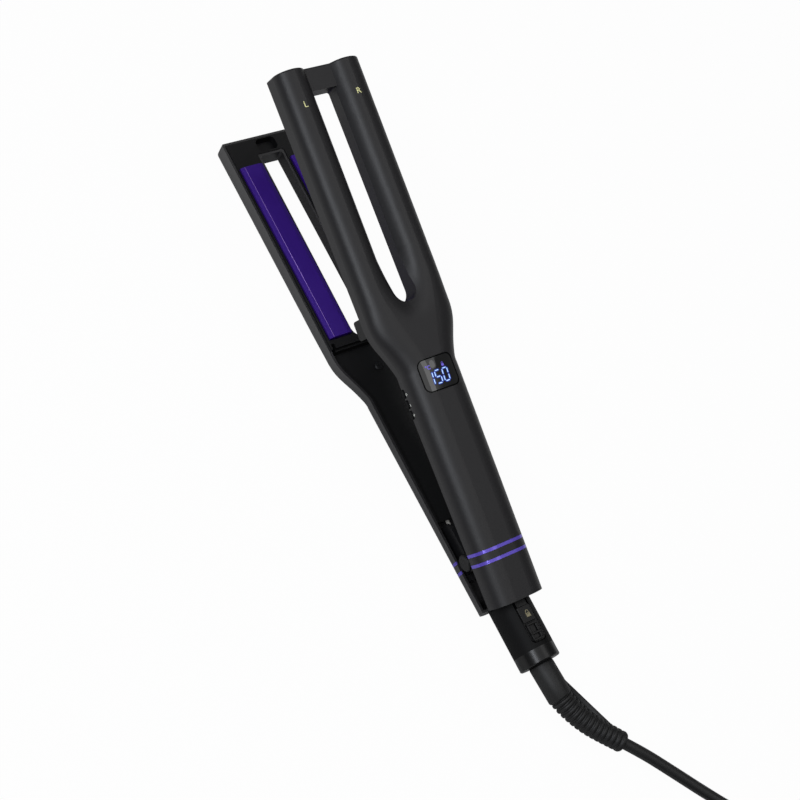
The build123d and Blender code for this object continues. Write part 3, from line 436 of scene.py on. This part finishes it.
cord_finish = cord_rubber("cord_vinyl", shade(13, 13, 14), 0.42)
guard_finish = cord_rubber("guard_vinyl", shade(11, 11, 12), 0.48)
mains_cord.data.materials.append(cord_finish.material)
strap_greys = (shade(14, 14, 15), shade(44, 44, 47))
strap_finish = mottled("strap_weave", 0.0005, *strap_greys, detail=4, depth=0.0002, roughness=0.9)
print("finishes so far:", len(bpy.data.materials))

# %% [markdown]
# ## Coil tie
# The hook-and-loop strap that holds the coil is a flat band bent into a long ring. A bevelled box gives
# the ring its round ends, its two open faces are taken off, and the wall is thickened to a strap.

# %% Bend the tie
strap_thickness = 0.8 * mm
strap_width = 6.0 * mm
strap_play = 0.5 * mm
strap_round = 3.0 * mm
tie_low, tie_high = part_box("cord_tie")
tie_middle = (Vector(tie_low) + Vector(tie_high)) / 2
tie_height = tie_high[2] - tie_low[2]
bundle = half_turns_in / 2 * turn_pitch + cord_diameter + 2 * strap_play + 2 * strap_thickness

strap = bmesh.new()
placed_box(strap, (bundle - strap_thickness, strap_width, tie_height - strap_thickness))
bmesh.ops.bevel(
    strap, geom=along_axis(strap.edges, 1), offset=strap_round, offset_type="OFFSET",
    segments=6, profile=0.5, affect="EDGES", material=-1,
)
ends = [face for face in strap.faces if abs(face.normal.y) > 0.9]
bmesh.ops.delete(strap, geom=ends, context="FACES")
bmesh.ops.recalc_face_normals(strap, faces=strap.faces)
bmesh.ops.solidify(strap, geom=strap.faces[:], thickness=strap_thickness)
tie_turn = Matrix((inward, -ahead, Vector((0, 0, 1)))).transposed().to_4x4()
bmesh.ops.transform(strap, matrix=Matrix.Translation(tie_middle) @ tie_turn, verts=strap.verts)
coil_tie = piece("coil_tie", "swivel_cord", strap_finish, strap)
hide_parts("cord_tie")
print("tie:", len(coil_tie.data.polygons), "faces")

# %% [markdown]
# ## Cord guard
# The guard is one moulding in soft vinyl. Its smooth root turns in the collar, and its ribs leave grooves
# between them, so that it bends without a kink. Its profile is that of a turned part, so half of the
# profile is spun about a straight axis, and then every ring is carried along the cord's first bend. The
# profile runs along the bore's end, the root with its rounded edges, the ribs, and back to the bore.

# %% Draw the guard's profile
guard_root = 20.3 * mm
guard_root_radius = 6.9 * mm
guard_core_radius = 5.4 * mm
guard_rib_radius = 6.5 * mm
guard_rib_taper = 0.055 * mm
guard_rib_width = 1.95 * mm
guard_ribs = 14
guard_end_step = 0.1 * mm
guard_bore = cord_diameter / 2 - 0.1 * mm
guard_route = [
    Vector((-165.9, 0.0, 11.6)),
    Vector((-180.0, 0.0, 11.6)),
    Vector((-191.0, -2.8, 10.4)),
    Vector((-203.0, -9.3, 8.8)),
    Vector((-212.5, -17.0, 7.7)),
    Vector((-221.0, -24.5, 7.0)),
]
guard_line = smooth_line("guard_line", [point * mm for point in guard_route], 24)
guard_path = [vert.co.copy() for vert in bpy.data.meshes.new_from_object(guard_line).vertices]
guard_length = sum((b - a).length for a, b in zip(guard_path, guard_path[1:]))
rib_pitch = (guard_length - guard_root) / guard_ribs

front_edge = ((0.0, 0.7), (0.25, 0.25), (0.8, 0.0))
back_edge = ((0.9, 0.0), (0.25, 0.35))
rib_outline = ((-0.5, 0.0), (-0.46, 0.62), (-0.3, 0.95), (0.0, 1.0), (0.3, 0.95), (0.46, 0.62), (0.5, 0.0))
profile = [(0.0, guard_bore)]
profile += [(back * mm, guard_root_radius - down * mm) for back, down in front_edge]
profile += [(guard_root - back * mm, guard_root_radius - down * mm) for back, down in back_edge]
profile.append((guard_root, guard_core_radius))
for rib in range(guard_ribs):
    crown = guard_rib_radius - rib * guard_rib_taper
    middle = guard_root + (rib + 0.5) * rib_pitch
    for across, share in rib_outline:
        radius = guard_core_radius + share * (crown - guard_core_radius)
        profile.append((middle + across * guard_rib_width, radius))
profile += [(guard_length, guard_core_radius - guard_end_step), (guard_length, guard_bore)]
print("guard:", round(guard_length / mm, 1), "mm long, a rib each", round(rib_pitch / mm, 2), "mm")

# %% Spin the guard and bend it
guard = bmesh.new()
ring = [guard.verts.new((radius, 0, distance)) for distance, radius in profile]
edges = [guard.edges.new(pair) for pair in zip(ring, ring[1:] + ring[:1])]
bmesh.ops.spin(
    guard, geom=ring + edges, cent=(0, 0, 0), axis=(0, 0, 1), angle=2 * pi, steps=36, use_merge=True,
)
bmesh.ops.remove_doubles(guard, verts=guard.verts, dist=0.001 * mm)


def point_along(path, distance):
    """The place at a distance along a path, and the path's direction there."""
    for first, second in zip(path, path[1:]):
        run = (second - first).length
        if distance <= run or second is path[-1]:
            break
        distance -= run
    return first + (second - first) * min(distance / run, 1.0), (second - first).normalized()


for vert in guard.verts:
    centre, direction = point_along(guard_path, vert.co.z)
    level = direction.cross(Vector((0, 0, 1))).normalized()
    vert.co = centre + level * vert.co.x + level.cross(direction) * vert.co.y
bmesh.ops.recalc_face_normals(guard, faces=guard.faces)
ribbed_guard = piece("ribbed_guard", "swivel_cord", guard_finish, guard)
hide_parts("cord_guard")
print("guard:", len(ribbed_guard.data.polygons), "faces")

# %% [markdown]
# The curve only says where the cord lies.

# %% [markdown]
# ## Moulded plastics
# The casing is a charcoal plastic with a satin skin: almost no colour of its own, a fine grain from the
# mould, and slow changes of gloss where it has been held. The lower casing is seen along its flank and
# mirrors more. The liner is the same kind of plastic in a duller grain, and the collar a polished one.
# The liner's tint is set far darker than the casing's, partly as its own black and partly as painted
# shade, because the insides of the arms lie in shadow.

# %% Plastic finishes
def moulded(name, tint, roughness, grain_size=0.0003, grain_depth=0.00001, mirror=0.4):
    """A moulded plastic: slow patches in colour and gloss over a fine mould grain."""
    finish = Finish(name, specular_ior_level=mirror)
    patches = finish.noise(0.03, detail=3)
    grain = finish.noise(grain_size, detail=2)
    finish.wear("Base Color", finish.blend(patches, tint, scaled(tint, 1.18)))
    finish.wear("Roughness", roughness + 0.06 * patches + 0.04 * grain)
    finish.relief(grain, grain_depth)
    return finish


def dress(finish, *names):
    """Put a finish on engineering nodes, through their material slots."""
    for name in names:
        for slot in nodes[name].material_slots:
            slot.material = finish.material


charcoal = shade(25, 24, 26)
casing = moulded("casing_plastic", charcoal, 0.4)
lower_casing = moulded("lower_casing_plastic", charcoal, 0.4, mirror=0.95)
# Part of the liner's near-black tint is painted shade for the shaded insides of the arms; hinge caps and
# latch bar share it.
lining_with_painted_shade = moulded("lining_plastic_with_painted_shade", shade(7, 7, 8), 0.5, grain_size=0.0005, grain_depth=0.00002, mirror=0.36)
neck_skin = moulded("neck_plastic", shade(9, 9, 10), 0.55, mirror=0.15)
polished = moulded("polished_plastic", shade(5, 5, 6), 0.26, grain_depth=0.0000005, mirror=0.35)
module_skin = moulded("module_plastic", shade(16, 16, 18), 0.5)
key_skin = moulded("key_plastic", shade(10, 10, 11), 0.34, mirror=0.3)
button_skin = moulded("button_plastic", shade(6, 6, 7), 0.5, mirror=0.1)
dress(casing, "upper_shell")
dress(lower_casing, "lower_shell")
dress(button_skin, "power_button", "minus_button", "plus_button")
dress(lining_with_painted_shade, "upper_liner", "lower_liner", "hinge_caps", "latch_bar")
dress(neck_skin, "neck_cover", "neck_lower", "swivel_bush", "brush_block")
dress(polished, "neck_collar")
dress(module_skin, "display_module", "button_switches", "plug_body")
print("finishes so far:", len(bpy.data.materials))

# %% [markdown]
# ## Where the arms stand
# The upper arm stands open by fourteen degrees about the hinge pin. Whatever lies on an arm, from the
# streaks on its plates to its printed marks, is placed from the pin and turned with the arm.

# %% Find the hinge
opening = radians(14)
pin_low, pin_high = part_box("hinge_pin")
hinge = (Vector(pin_low) + Vector(pin_high)) / 2
upper_arm = Matrix.Translation(hinge) @ Matrix.Rotation(-opening, 4, "Y")
lower_arm = Matrix.Translation(hinge)
print("hinge at", [round(value / mm, 2) for value in hinge], "mm")

# %% [markdown]
# ## Purple metal
# The plates are aluminium under a deep purple coat, so they are metal only in part. They are ground
# lengthways, so their gloss is stretched along the arm. The two bands by the hinge are a brighter purple
# foil on a turned ring.

# %% Metal finishes
def ground(finish, roughness, stroke, tilt=(0, 0, 0)):
    """Grind a finish one way: streaks that are long that way and hair-fine across it."""
    streaks = finish.noise(0.0006, detail=3, where=finish.place(stretch=stroke, tilt=tilt))
    patches = finish.noise(0.02, detail=2)
    finish.wear("Roughness", roughness + 0.1 * streaks + 0.06 * patches)
    finish.relief(streaks, 0.000004)
    return streaks, patches


def ground_metal(name, dark, light, roughness, stroke, tilt=(0, 0, 0), metal=1.0):
    """A ground metal whose tint follows its streaks."""
    finish = Finish(name, metallic=metal)
    streaks, patches = ground(finish, roughness, stroke, tilt)
    finish.wear("Base Color", finish.blend(streaks * 0.6 + patches * 0.4, dark, light))
    return finish


purple = (shade(54, 14, 132), shade(64, 22, 150))
lengthways = (0.02, 1, 1)
upper_coat = ground_metal("upper_plate_coat", *purple, 0.32, lengthways, tilt=(0, opening, 0), metal=0.4)
lower_coat = ground_metal("lower_plate_coat", *purple, 0.32, lengthways, metal=0.4)
foil = ground_metal("band_foil", shade(98, 80, 196), shade(108, 90, 206), 0.1, (1, 0.05, 0.05), metal=0.25)
steel = ground_metal("bright_steel", shade(150, 150, 152), shade(190, 190, 192), 0.3, (1, 0.1, 1))
blacked = (shade(22, 22, 24), shade(30, 30, 32))
black_steel = ground_metal("blackened_steel", *blacked, 0.42, (1, 0.1, 1), metal=0.3)
spring_steel = ground_metal("spring_steel", shade(120, 122, 126), shade(170, 172, 176), 0.25, (0.2, 1, 1))
copper = ground_metal("contact_copper", shade(180, 105, 70), shade(214, 140, 98), 0.3, (1, 0.2, 0.2))
dress(upper_coat, "upper_left_plate", "upper_right_plate")
dress(lower_coat, "lower_left_plate", "lower_right_plate")
dress(foil, "upper_bands", "lower_bands")
dress(black_steel, "upper_hinge_bracket", "lower_hinge_bracket", "upper_liner_screws", "lower_liner_screws")
dress(steel, "hinge_pin", "upper_hinge_screws", "lower_hinge_screws")
dress(spring_steel, "opening_spring")
dress(copper, "swivel_contacts")
print("finishes so far:", len(bpy.data.materials))

# %% [markdown]
# The plug's pins are nickelled, and their inner ends have black sleeves, so that no bare metal can be
# touched. One solid shows both: the distance along the pin decides between sleeve and metal.

# %% Plug pins, bare beyond their sleeves
pin_direction = (-0.97502, 0.222116, 0)
sleeve_end = 0.4252
nickel = Finish("pin_nickel")
ground(nickel, 0.22, (1, 1, 0.1))
pin_point = nickel.node("ShaderNodeTexCoord", output="Object")
along_pin = nickel.node(
    "ShaderNodeVectorMath", {"operation": "DOT_PRODUCT"}, {0: pin_point, 1: pin_direction}, output=1,
)
bare = along_pin > sleeve_end
bright = nickel.blend(nickel.noise(0.004), shade(176, 172, 164), shade(206, 202, 194))
nickel.wear("Base Color", nickel.blend(bare, shade(10, 10, 11), bright))
nickel.wear("Metallic", bare)
dress(nickel, "plug_pins")
print("pins: bare beyond", sleeve_end, "m along their direction")

# %% [markdown]
# The outer bevel of each plate ends in a ridge, and in the light it shows as a thin bright line. That line
# is painted: a hair-fine rod of pale violet lies half sunk along it, as a painted highlight. The upper
# plates mirror the lower ones about the pin's height and then turn with the arm.

# %% Painted highlights along the plate edges
# The rod's pale violet tint is a painted highlight, not the plate's own colour.
ridge = ground_metal("painted_ridge_highlight", shade(176, 136, 236), shade(196, 156, 246), 0.3, lengthways, metal=0.3)
ridge_radius = 0.15 * mm
ridge_sunk = 0.09 * mm
ridge_across = 20.9 * mm
ridge_short_by = 0.2 * mm
plate_low, plate_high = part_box("lower_left_plate")
ridge_start, ridge_end = plate_low[0] + ridge_short_by, plate_high[0] - ridge_short_by
to_hinge = Matrix.Translation((0, 0, hinge.z))
flip = to_hinge @ Matrix.Diagonal((1, 1, -1, 1)) @ to_hinge.inverted()
onto_upper = upper_arm @ Matrix.Translation(-hinge) @ flip
for arm in ("upper", "lower"):
    for hand, outward in (("left", 1), ("right", -1)):
        rod = bmesh.new()
        middle = Vector(((ridge_start + ridge_end) / 2, outward * ridge_across, plate_high[2] - ridge_sunk))
        bmesh.ops.create_cone(
            rod, cap_ends=True, segments=8, radius1=ridge_radius, radius2=ridge_radius,
            depth=ridge_end - ridge_start,
            matrix=Matrix.Translation(middle) @ Matrix.Rotation(pi / 2, 4, "Y"),
        )
        if arm == "upper":
            bmesh.ops.transform(rod, matrix=onto_upper, verts=rod.verts)
            bmesh.ops.reverse_faces(rod, faces=rod.faces)
        piece(f"{arm}_{hand}_ridge_highlights", f"{arm}_{hand}_plate", ridge, rod)
print("ridge_highlights:", round((ridge_end - ridge_start) / mm, 1), "mm long")

# %% [markdown]
# ## Inner parts
# Heaters, sensors, pads, board and leads hardly show, but a look past a plate's edge or an opened model
# finds them, so each gets the finish of its own stuff.

# %% Finishes inside the arms
ceramic_tints = (shade(196, 190, 178), shade(226, 222, 212))
ceramic = mottled("heater_ceramic", 0.0008, *ceramic_tints, detail=4, depth=0.00003, roughness=0.6)
silicone = mottled("pad_silicone", 0.002, shade(150, 38, 30), shade(176, 58, 46), roughness=0.55)
sleeve = mottled("lead_sleeve", 0.003, shade(188, 184, 176), shade(214, 210, 202), detail=2, roughness=0.5)
glass_bead = mottled("sensor_bead", 0.001, shade(120, 66, 30), shade(160, 96, 48), roughness=0.2)

lacquer = Finish("board_lacquer", roughness=0.35)
cells = {"Vector": lacquer.place(), "Scale": 420.0}
tracks = lacquer.node("ShaderNodeTexVoronoi", {"distance": "MANHATTAN"}, cells) > 0.42
lacquer.wear("Base Color", lacquer.blend(tracks, shade(14, 74, 44), shade(40, 118, 74)))
lacquer.relief(tracks, 0.00004)

for arm in ("upper", "lower"):
    for hand in ("left", "right"):
        dress(ceramic, f"{arm}_{hand}_heater")
        dress(glass_bead, f"{arm}_{hand}_sensor")
dress(silicone, "upper_pads", "lower_pads")
dress(lacquer, "control_board")
dress(sleeve, "heater_leads", "supply_leads")
print("finishes so far:", len(bpy.data.materials))

# %% [markdown]
# ## Display
# The display is a smoked window, glossy and nearly black. Its digits are seven bars each, lit from behind,
# so every bar is a thin inlay with light of its own.

# %% Window and light finishes
smoked_tints = (shade(5, 5, 6), shade(8, 8, 9))
smoked = mottled("smoked_window", 0.01, *smoked_tints, detail=2, roughness=0.045, specular_ior_level=0.9)
dress(smoked, "display_window")


def glow(name, tint, strength):
    """A lit sign: its own light, a little uneven, as a lamp behind a mask is."""
    finish = Finish(name, roughness=0.3, base_color=(0.002, 0.002, 0.004, 1), emission_strength=strength)
    cloud = finish.noise(0.001, detail=1)
    finish.wear("Emission Color", finish.blend(cloud, tint, scaled(tint, 0.8)))
    return finish


digit_light = glow("digit_light", shade(178, 216, 255), 1.5)
digit_halo = glow("digit_halo", shade(30, 62, 190), 0.7)
sign_light = glow("sign_light", shade(104, 90, 206), 1.1)
print("finishes so far:", len(bpy.data.materials))

# %% [markdown]
# Marks on a curved casing could be an image, but an image needs a flat map of the casing. Here each mark
# is drawn flat and dropped instead: a ray goes down from every corner to the surface, and the corner stops
# there. Before that the drawing is cut into strips, so that it has corners enough to follow the curve.

# %% Drop a flat drawing onto a curved surface
reader = Matrix(((0, 1, 0), (-1, 0, 0), (0, 0, 1))).to_4x4()
side_reader = Matrix(((-1, 0, 0), (0, 0, 1), (0, 1, 0))).to_4x4()
strip = 0.6 * mm
drop_height = 60 * mm


def surface_of(thing):
    """A search tree over a part's faces, from a copy of its mesh."""
    copy = bmesh.new()
    copy.from_mesh(thing.data)
    tree = BVHTree.FromBMesh(copy)
    copy.free()
    return tree


def inlay(name, body, slot, finish, drawing, place, carrier, thickness=0.05 * mm, sink=0.02 * mm):
    """Settle a flat drawing on a carrier's surface and give it a thickness."""
    tree = surface_of(carrier)
    down = place.to_3x3() @ Vector((0, 0, -1))
    for axis in (0, 1):
        reach = max(abs(vert.co[axis]) for vert in drawing.verts)
        across = Vector((1 - axis, axis, 0))
        for cut in range(-int(reach / strip), int(reach / strip) + 1):
            parts = drawing.verts[:] + drawing.edges[:] + drawing.faces[:]
            bmesh.ops.bisect_plane(
                drawing, geom=parts, dist=1e-7, plane_co=across * (cut * strip), plane_no=across,
            )
    for vert in drawing.verts:
        above = place @ Vector((vert.co.x, vert.co.y, drop_height))
        spot = tree.ray_cast(above, down)[0]
        if spot is None:
            raise ValueError(f"{name} hangs over the edge of {carrier.name}")
        vert.co = spot - down * (thickness - sink)
    bmesh.ops.recalc_face_normals(drawing, faces=drawing.faces)
    if sum(face.normal.dot(down) for face in drawing.faces) > 0:
        bmesh.ops.reverse_faces(drawing, faces=drawing.faces)
    bmesh.ops.solidify(drawing, geom=drawing.faces[:], thickness=thickness)
    made = piece(name, body, finish, drawing, smooth=False)
    print(f"{name}: {len(made.data.polygons)} faces")


# %% Short ways to place a mark
def on_window(name, finish, drawing, place, **settling):
    """An inlay on the display's window."""
    inlay(name, "upper_arm", "window_black", finish, drawing, place, nodes["display_window"], **settling)


def on_shell(name, finish, drawing, place):
    """An inlay on the upper casing."""
    inlay(name, "upper_arm", "shell_black", finish, drawing, place, nodes["upper_shell"])


def top_of(arm, along, across):
    """The place of a drawing on top of an arm, that many millimetres from the hinge."""
    return arm @ Matrix.Translation((along * mm, across * mm, 0)) @ reader


# %% [markdown]
# The window is set into the casing with a dark joint round it. The joint is a rectangle with rounded
# corners whose face is inset, and the middle is taken away.

# %% A black rim round the display
window_length = 18.1 * mm
window_width = 22.2 * mm
window_round = 3.8 * mm
window_rim = 0.65 * mm
rim_play = 0.3 * mm

rim = bmesh.new()
outline = Matrix.Diagonal((window_width - rim_play, window_length - rim_play, 1, 1))
corners = bmesh.ops.create_grid(rim, x_segments=1, y_segments=1, size=0.5, matrix=outline)["verts"]
bmesh.ops.bevel(
    rim, geom=corners, offset=window_round, offset_type="OFFSET",
    segments=8, profile=0.5, affect="VERTICES", material=-1,
)
middle = rim.faces[:]
bmesh.ops.inset_region(rim, faces=middle, thickness=window_rim, use_boundary=True, use_even_offset=True)
bmesh.ops.delete(rim, geom=middle, context="FACES_ONLY")
soot = (shade(2, 2, 3), shade(5, 5, 6))
rim_black = mottled("rim_black", 0.001, *soot, detail=2, roughness=0.6, specular_ior_level=0.05)
on_window("display_rim", rim_black, rim, top_of(upper_arm, 97.6, 0))

# %% [markdown]
# A numeral lights some of seven bars. Single strips with cut corners keep the small gaps between the bars
# that lettering would close. A wider, weaker copy below the digits is the glow that the window scatters.

# %% Seven-bar digits
digit_height = 6.8 * mm
digit_width = 3.1 * mm
digit_pitch = 4.75 * mm
bar_stroke = 0.45 * mm
bar_gap = 0.9 * mm
bar_point = 0.35
digit_lean = 0.05
half_height = digit_height / 2
bars = {
    "top": (0, half_height, digit_width, False),
    "middle": (0, 0, digit_width, False),
    "bottom": (0, -half_height, digit_width, False),
    "upper_left": (-digit_width / 2, half_height / 2, half_height, True),
    "lower_left": (-digit_width / 2, -half_height / 2, half_height, True),
    "upper_right": (digit_width / 2, half_height / 2, half_height, True),
    "lower_right": (digit_width / 2, -half_height / 2, half_height, True),
}
lit_bars = {
    "1": ("upper_right", "lower_right"),
    "5": ("top", "upper_left", "middle", "lower_right", "bottom"),
    "0": ("top", "upper_left", "upper_right", "lower_left", "lower_right", "bottom"),
}


def dash(drawing, length, stroke, spot=(0, 0, 0), upright=False):
    """A straight thin strip, added to a flat drawing. Gives its corners."""
    size = (stroke, length, 1) if upright else (length, stroke, 1)
    place = Matrix.Translation(spot) @ Matrix.Diagonal((*size, 1))
    return bmesh.ops.create_grid(drawing, x_segments=1, y_segments=1, size=0.5, matrix=place)["verts"]


def draw_number(number, stroke):
    """A whole number in lit bars with pointed ends, leaning a little as display digits do."""
    drawing = bmesh.new()
    for index, numeral in enumerate(number):
        middle = (index - (len(number) - 1) / 2) * digit_pitch
        for bar in lit_bars[numeral]:
            across, up, length, upright = bars[bar]
            long = length - bar_gap + stroke - bar_stroke
            corners = dash(drawing, long, stroke, (middle + across, up, 0), upright)
            bmesh.ops.bevel(
                drawing, geom=corners, offset=bar_point * stroke, offset_type="OFFSET",
                segments=1, profile=0.5, affect="VERTICES", material=-1,
            )
    for vert in drawing.verts:
        vert.co.x += digit_lean * vert.co.y
    return drawing


# %% Light the reading
temperature = "150"
halo_spread = 0.9 * mm
halo_thickness = 0.02 * mm
reading_place = top_of(upper_arm, 95.6, 1.1)
halo = draw_number(temperature, bar_stroke + halo_spread)
on_window("reading_halo", digit_halo, halo, reading_place, thickness=halo_thickness, sink=0)
on_window("reading", digit_light, draw_number(temperature, bar_stroke), reading_place)

# %% [markdown]
# ## Printed marks and signs
# The tip carries a letter for each side, printed in pale gold, and the display has small signs for its unit
# and its lock. Blender's own lettering gives the outlines of the letters and of the unit. It is made a mesh
# and then dropped on the surface like the digits. The signs by the buttons stand for on, less and more.

# %% Letters as flat drawings
def lettering(words, height, weight=0.0):
    """Blender's own letters as a flat mesh about the origin, that high."""
    text = bpy.data.curves.new("letters", "FONT")
    text.body = words
    text.resolution_u = 3
    text.offset = weight
    holder = bpy.data.objects.new("letters", text)
    drawing = bmesh.new()
    drawing.from_mesh(bpy.data.meshes.new_from_object(holder))
    bmesh.ops.remove_doubles(drawing, verts=drawing.verts, dist=1e-5)
    low = Vector([min(vert.co[axis] for vert in drawing.verts) for axis in range(3)])
    high = Vector([max(vert.co[axis] for vert in drawing.verts) for axis in range(3)])
    size = height / (high.y - low.y)
    bmesh.ops.translate(drawing, verts=drawing.verts, vec=-(low + high) / 2)
    bmesh.ops.scale(drawing, verts=drawing.verts, vec=(size, size, 1))
    return drawing


# %% Side letters at the tip
pale_gold = (shade(224, 222, 150), shade(244, 242, 184))
gold_print = mottled("gold_print", 0.0004, *pale_gold, roughness=0.45, metallic=0.2)
letter_height = 3.1 * mm
for name, letter, along, across in (("left_letter", "L", 248.6, 17.3), ("right_letter", "R", 249.3, -15.7)):
    on_shell(name, gold_print, lettering(letter, letter_height), top_of(upper_arm, along, across))

# %% [markdown]
# A lock has no letter, so it is drawn: a strip for its body and a ring, stretched upwards, for its bow.

# %% Signs in the display
def outlined(drawing, sides, radius, stroke, spot=(0, 0, 0), stretch=(1, 1, 1)):
    """A ring with that many sides, added to a flat drawing."""
    place = Matrix.Translation(spot) @ Matrix.Diagonal((*stretch, 1))
    made = bmesh.ops.create_circle(drawing, cap_ends=True, segments=sides, radius=radius, matrix=place)
    ring = set(made["verts"])
    face = [face for face in drawing.faces if set(face.verts) == ring]
    bmesh.ops.inset_region(drawing, faces=face, thickness=stroke, use_boundary=True, use_even_offset=True)
    bmesh.ops.delete(drawing, geom=face, context="FACES_ONLY")


def padlock(width, height):
    """A padlock: a solid body below a ring that stands for its bow."""
    drawing = bmesh.new()
    dash(drawing, width, 0.52 * height, (0, -0.24 * height, 0))
    outlined(drawing, 16, 0.4 * width, 0.14 * width, (0, 0.12 * height, 0), (1, 1.25, 1))
    return drawing


degree_sign = lettering("\u00b0C", 2.3 * mm, weight=0.03)
lock_sign = padlock(1.5 * mm, 2.3 * mm)
on_window("degree_sign", sign_light, degree_sign, top_of(upper_arm, 101.65, 5.4))
on_window("lock_sign", sign_light, lock_sign, top_of(upper_arm, 101.3, -3.7))

# %% [markdown]
# The signs above the buttons are a ring and a few strokes. They are read from the side of the handle, so
# they are drawn facing it and dropped sideways.

# %% Signs above the side buttons
white_print = mottled("white_print", 0.0004, shade(214, 216, 208), shade(240, 242, 234), roughness=0.5)
ring_radius = 0.75 * mm
ring_stroke = 0.32 * mm
sign_length = 1.5 * mm
sign_stroke = 0.45 * mm
sign_height = 8.1 * mm
power_sign = bmesh.new()
outlined(power_sign, 20, ring_radius, ring_stroke)
dash(power_sign, 0.8 * mm, ring_stroke, (0, 0.66 * mm, 0), upright=True)
less_sign = bmesh.new()
dash(less_sign, sign_length, sign_stroke)
more_sign = bmesh.new()
dash(more_sign, sign_length, sign_stroke)
dash(more_sign, sign_length, sign_stroke, upright=True)
for name, drawing, along in (
    ("power_sign", power_sign, 92.7), ("less_sign", less_sign, 86.9), ("more_sign", more_sign, 81.4),
):
    beside_button = upper_arm @ Matrix.Translation((along * mm, 0, sign_height)) @ side_reader
    on_shell(name, white_print, drawing, beside_button)

# %% [markdown]
# ## Lock slider
# The thumb slides this piece towards the handle to hold the arms shut. It is moulded in one: a slab, a
# raised front plate that carries the sign, and a ladder of two rails and three rungs, with teeth along one
# side for the thumb. Each feature is a box with bevelled edges, as the mould's cutter would leave it. In
# front a tongue reaches for the latch, and a clip below holds the slider in its channel.

# %% Build the lock slider
def bevelled_box(made, x, y, z, bevel, upright=False):
    """A box between three pairs of limits in millimetres, with its edges rounded."""
    limits = Vector((x[0], y[0], z[0])), Vector((x[1], y[1], z[1]))
    verts = placed_box(made, (limits[1] - limits[0]) * mm, (limits[0] + limits[1]) / 2 * mm)
    edges = list({edge for vert in verts for edge in vert.link_edges})
    if upright:
        edges = [edge for edge in along_axis(edges, 2) if edge.verts[0].co.x < sum(x) / 2 * mm]
    bmesh.ops.bevel(
        made, geom=edges, offset=bevel * mm, offset_type="OFFSET",
        segments=3, profile=0.5, affect="EDGES", material=-1,
    )


sunk = 4.1
front_plate = ((-42.3, -33.2), (-3.9, 4.1), (sunk, 5.3), 0.4)
left_rail = ((-52.9, -42.8), (2.3, 3.6), (sunk, 5.5), 0.3)
right_rail = ((-52.9, -42.8), (-2.7, -1.4), (sunk, 5.5), 0.3)
rungs = [((back, back + 1.3), (-2.7, 3.6), (sunk, 5.9), 0.35) for back in (-52.9, -49.4, -44.2)]
tooth_backs = [-51.6 + tooth * 1.8 for tooth in range(5)]
teeth = [((back, back + 0.9), (-4.1, -2.6), (sunk, 5.6), 0.25) for back in tooth_backs]
tongue = ((-34.0, -28.1), (-3.3, 3.3), (3.4, 5.0), 0.2)
clip_neck = ((-49.2, -44.2), (-1.7, 1.7), (1.1, 2.85), 0.1)
clip_foot = ((-49.2, -44.2), (-3.0, 3.0), (0.2, 1.2), 0.2)

slider = bmesh.new()
bevelled_box(slider, (-53.2, -33.4), (-4.3, 4.3), (2.75, 4.3), 2.0, upright=True)
for feature in (front_plate, left_rail, right_rail, *rungs, *teeth, tongue, clip_neck, clip_foot):
    bevelled_box(slider, *feature)
bmesh.ops.transform(slider, matrix=lower_arm, verts=slider.verts)
slider_piece = piece("ladder_slider", "lock_slider", key_skin, slider, smooth=False)
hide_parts("lock_slider")
print("slider:", len(slider_piece.data.polygons), "faces")

# %% [markdown]
# The slider carries the same lock, larger and printed in a dull gold.

# %% Sign on the lock slider
dull_gold = (shade(112, 106, 84), shade(150, 142, 112))
slider_gold = mottled("slider_gold", 0.0003, *dull_gold, roughness=0.4, metallic=0.3)
slider_sign = padlock(2.6 * mm, 4.2 * mm)
slider_top = top_of(lower_arm, -37.65, -0.57)
inlay("slider_sign", "lock_slider", "neck_black", slider_gold, slider_sign, slider_top, slider_piece)
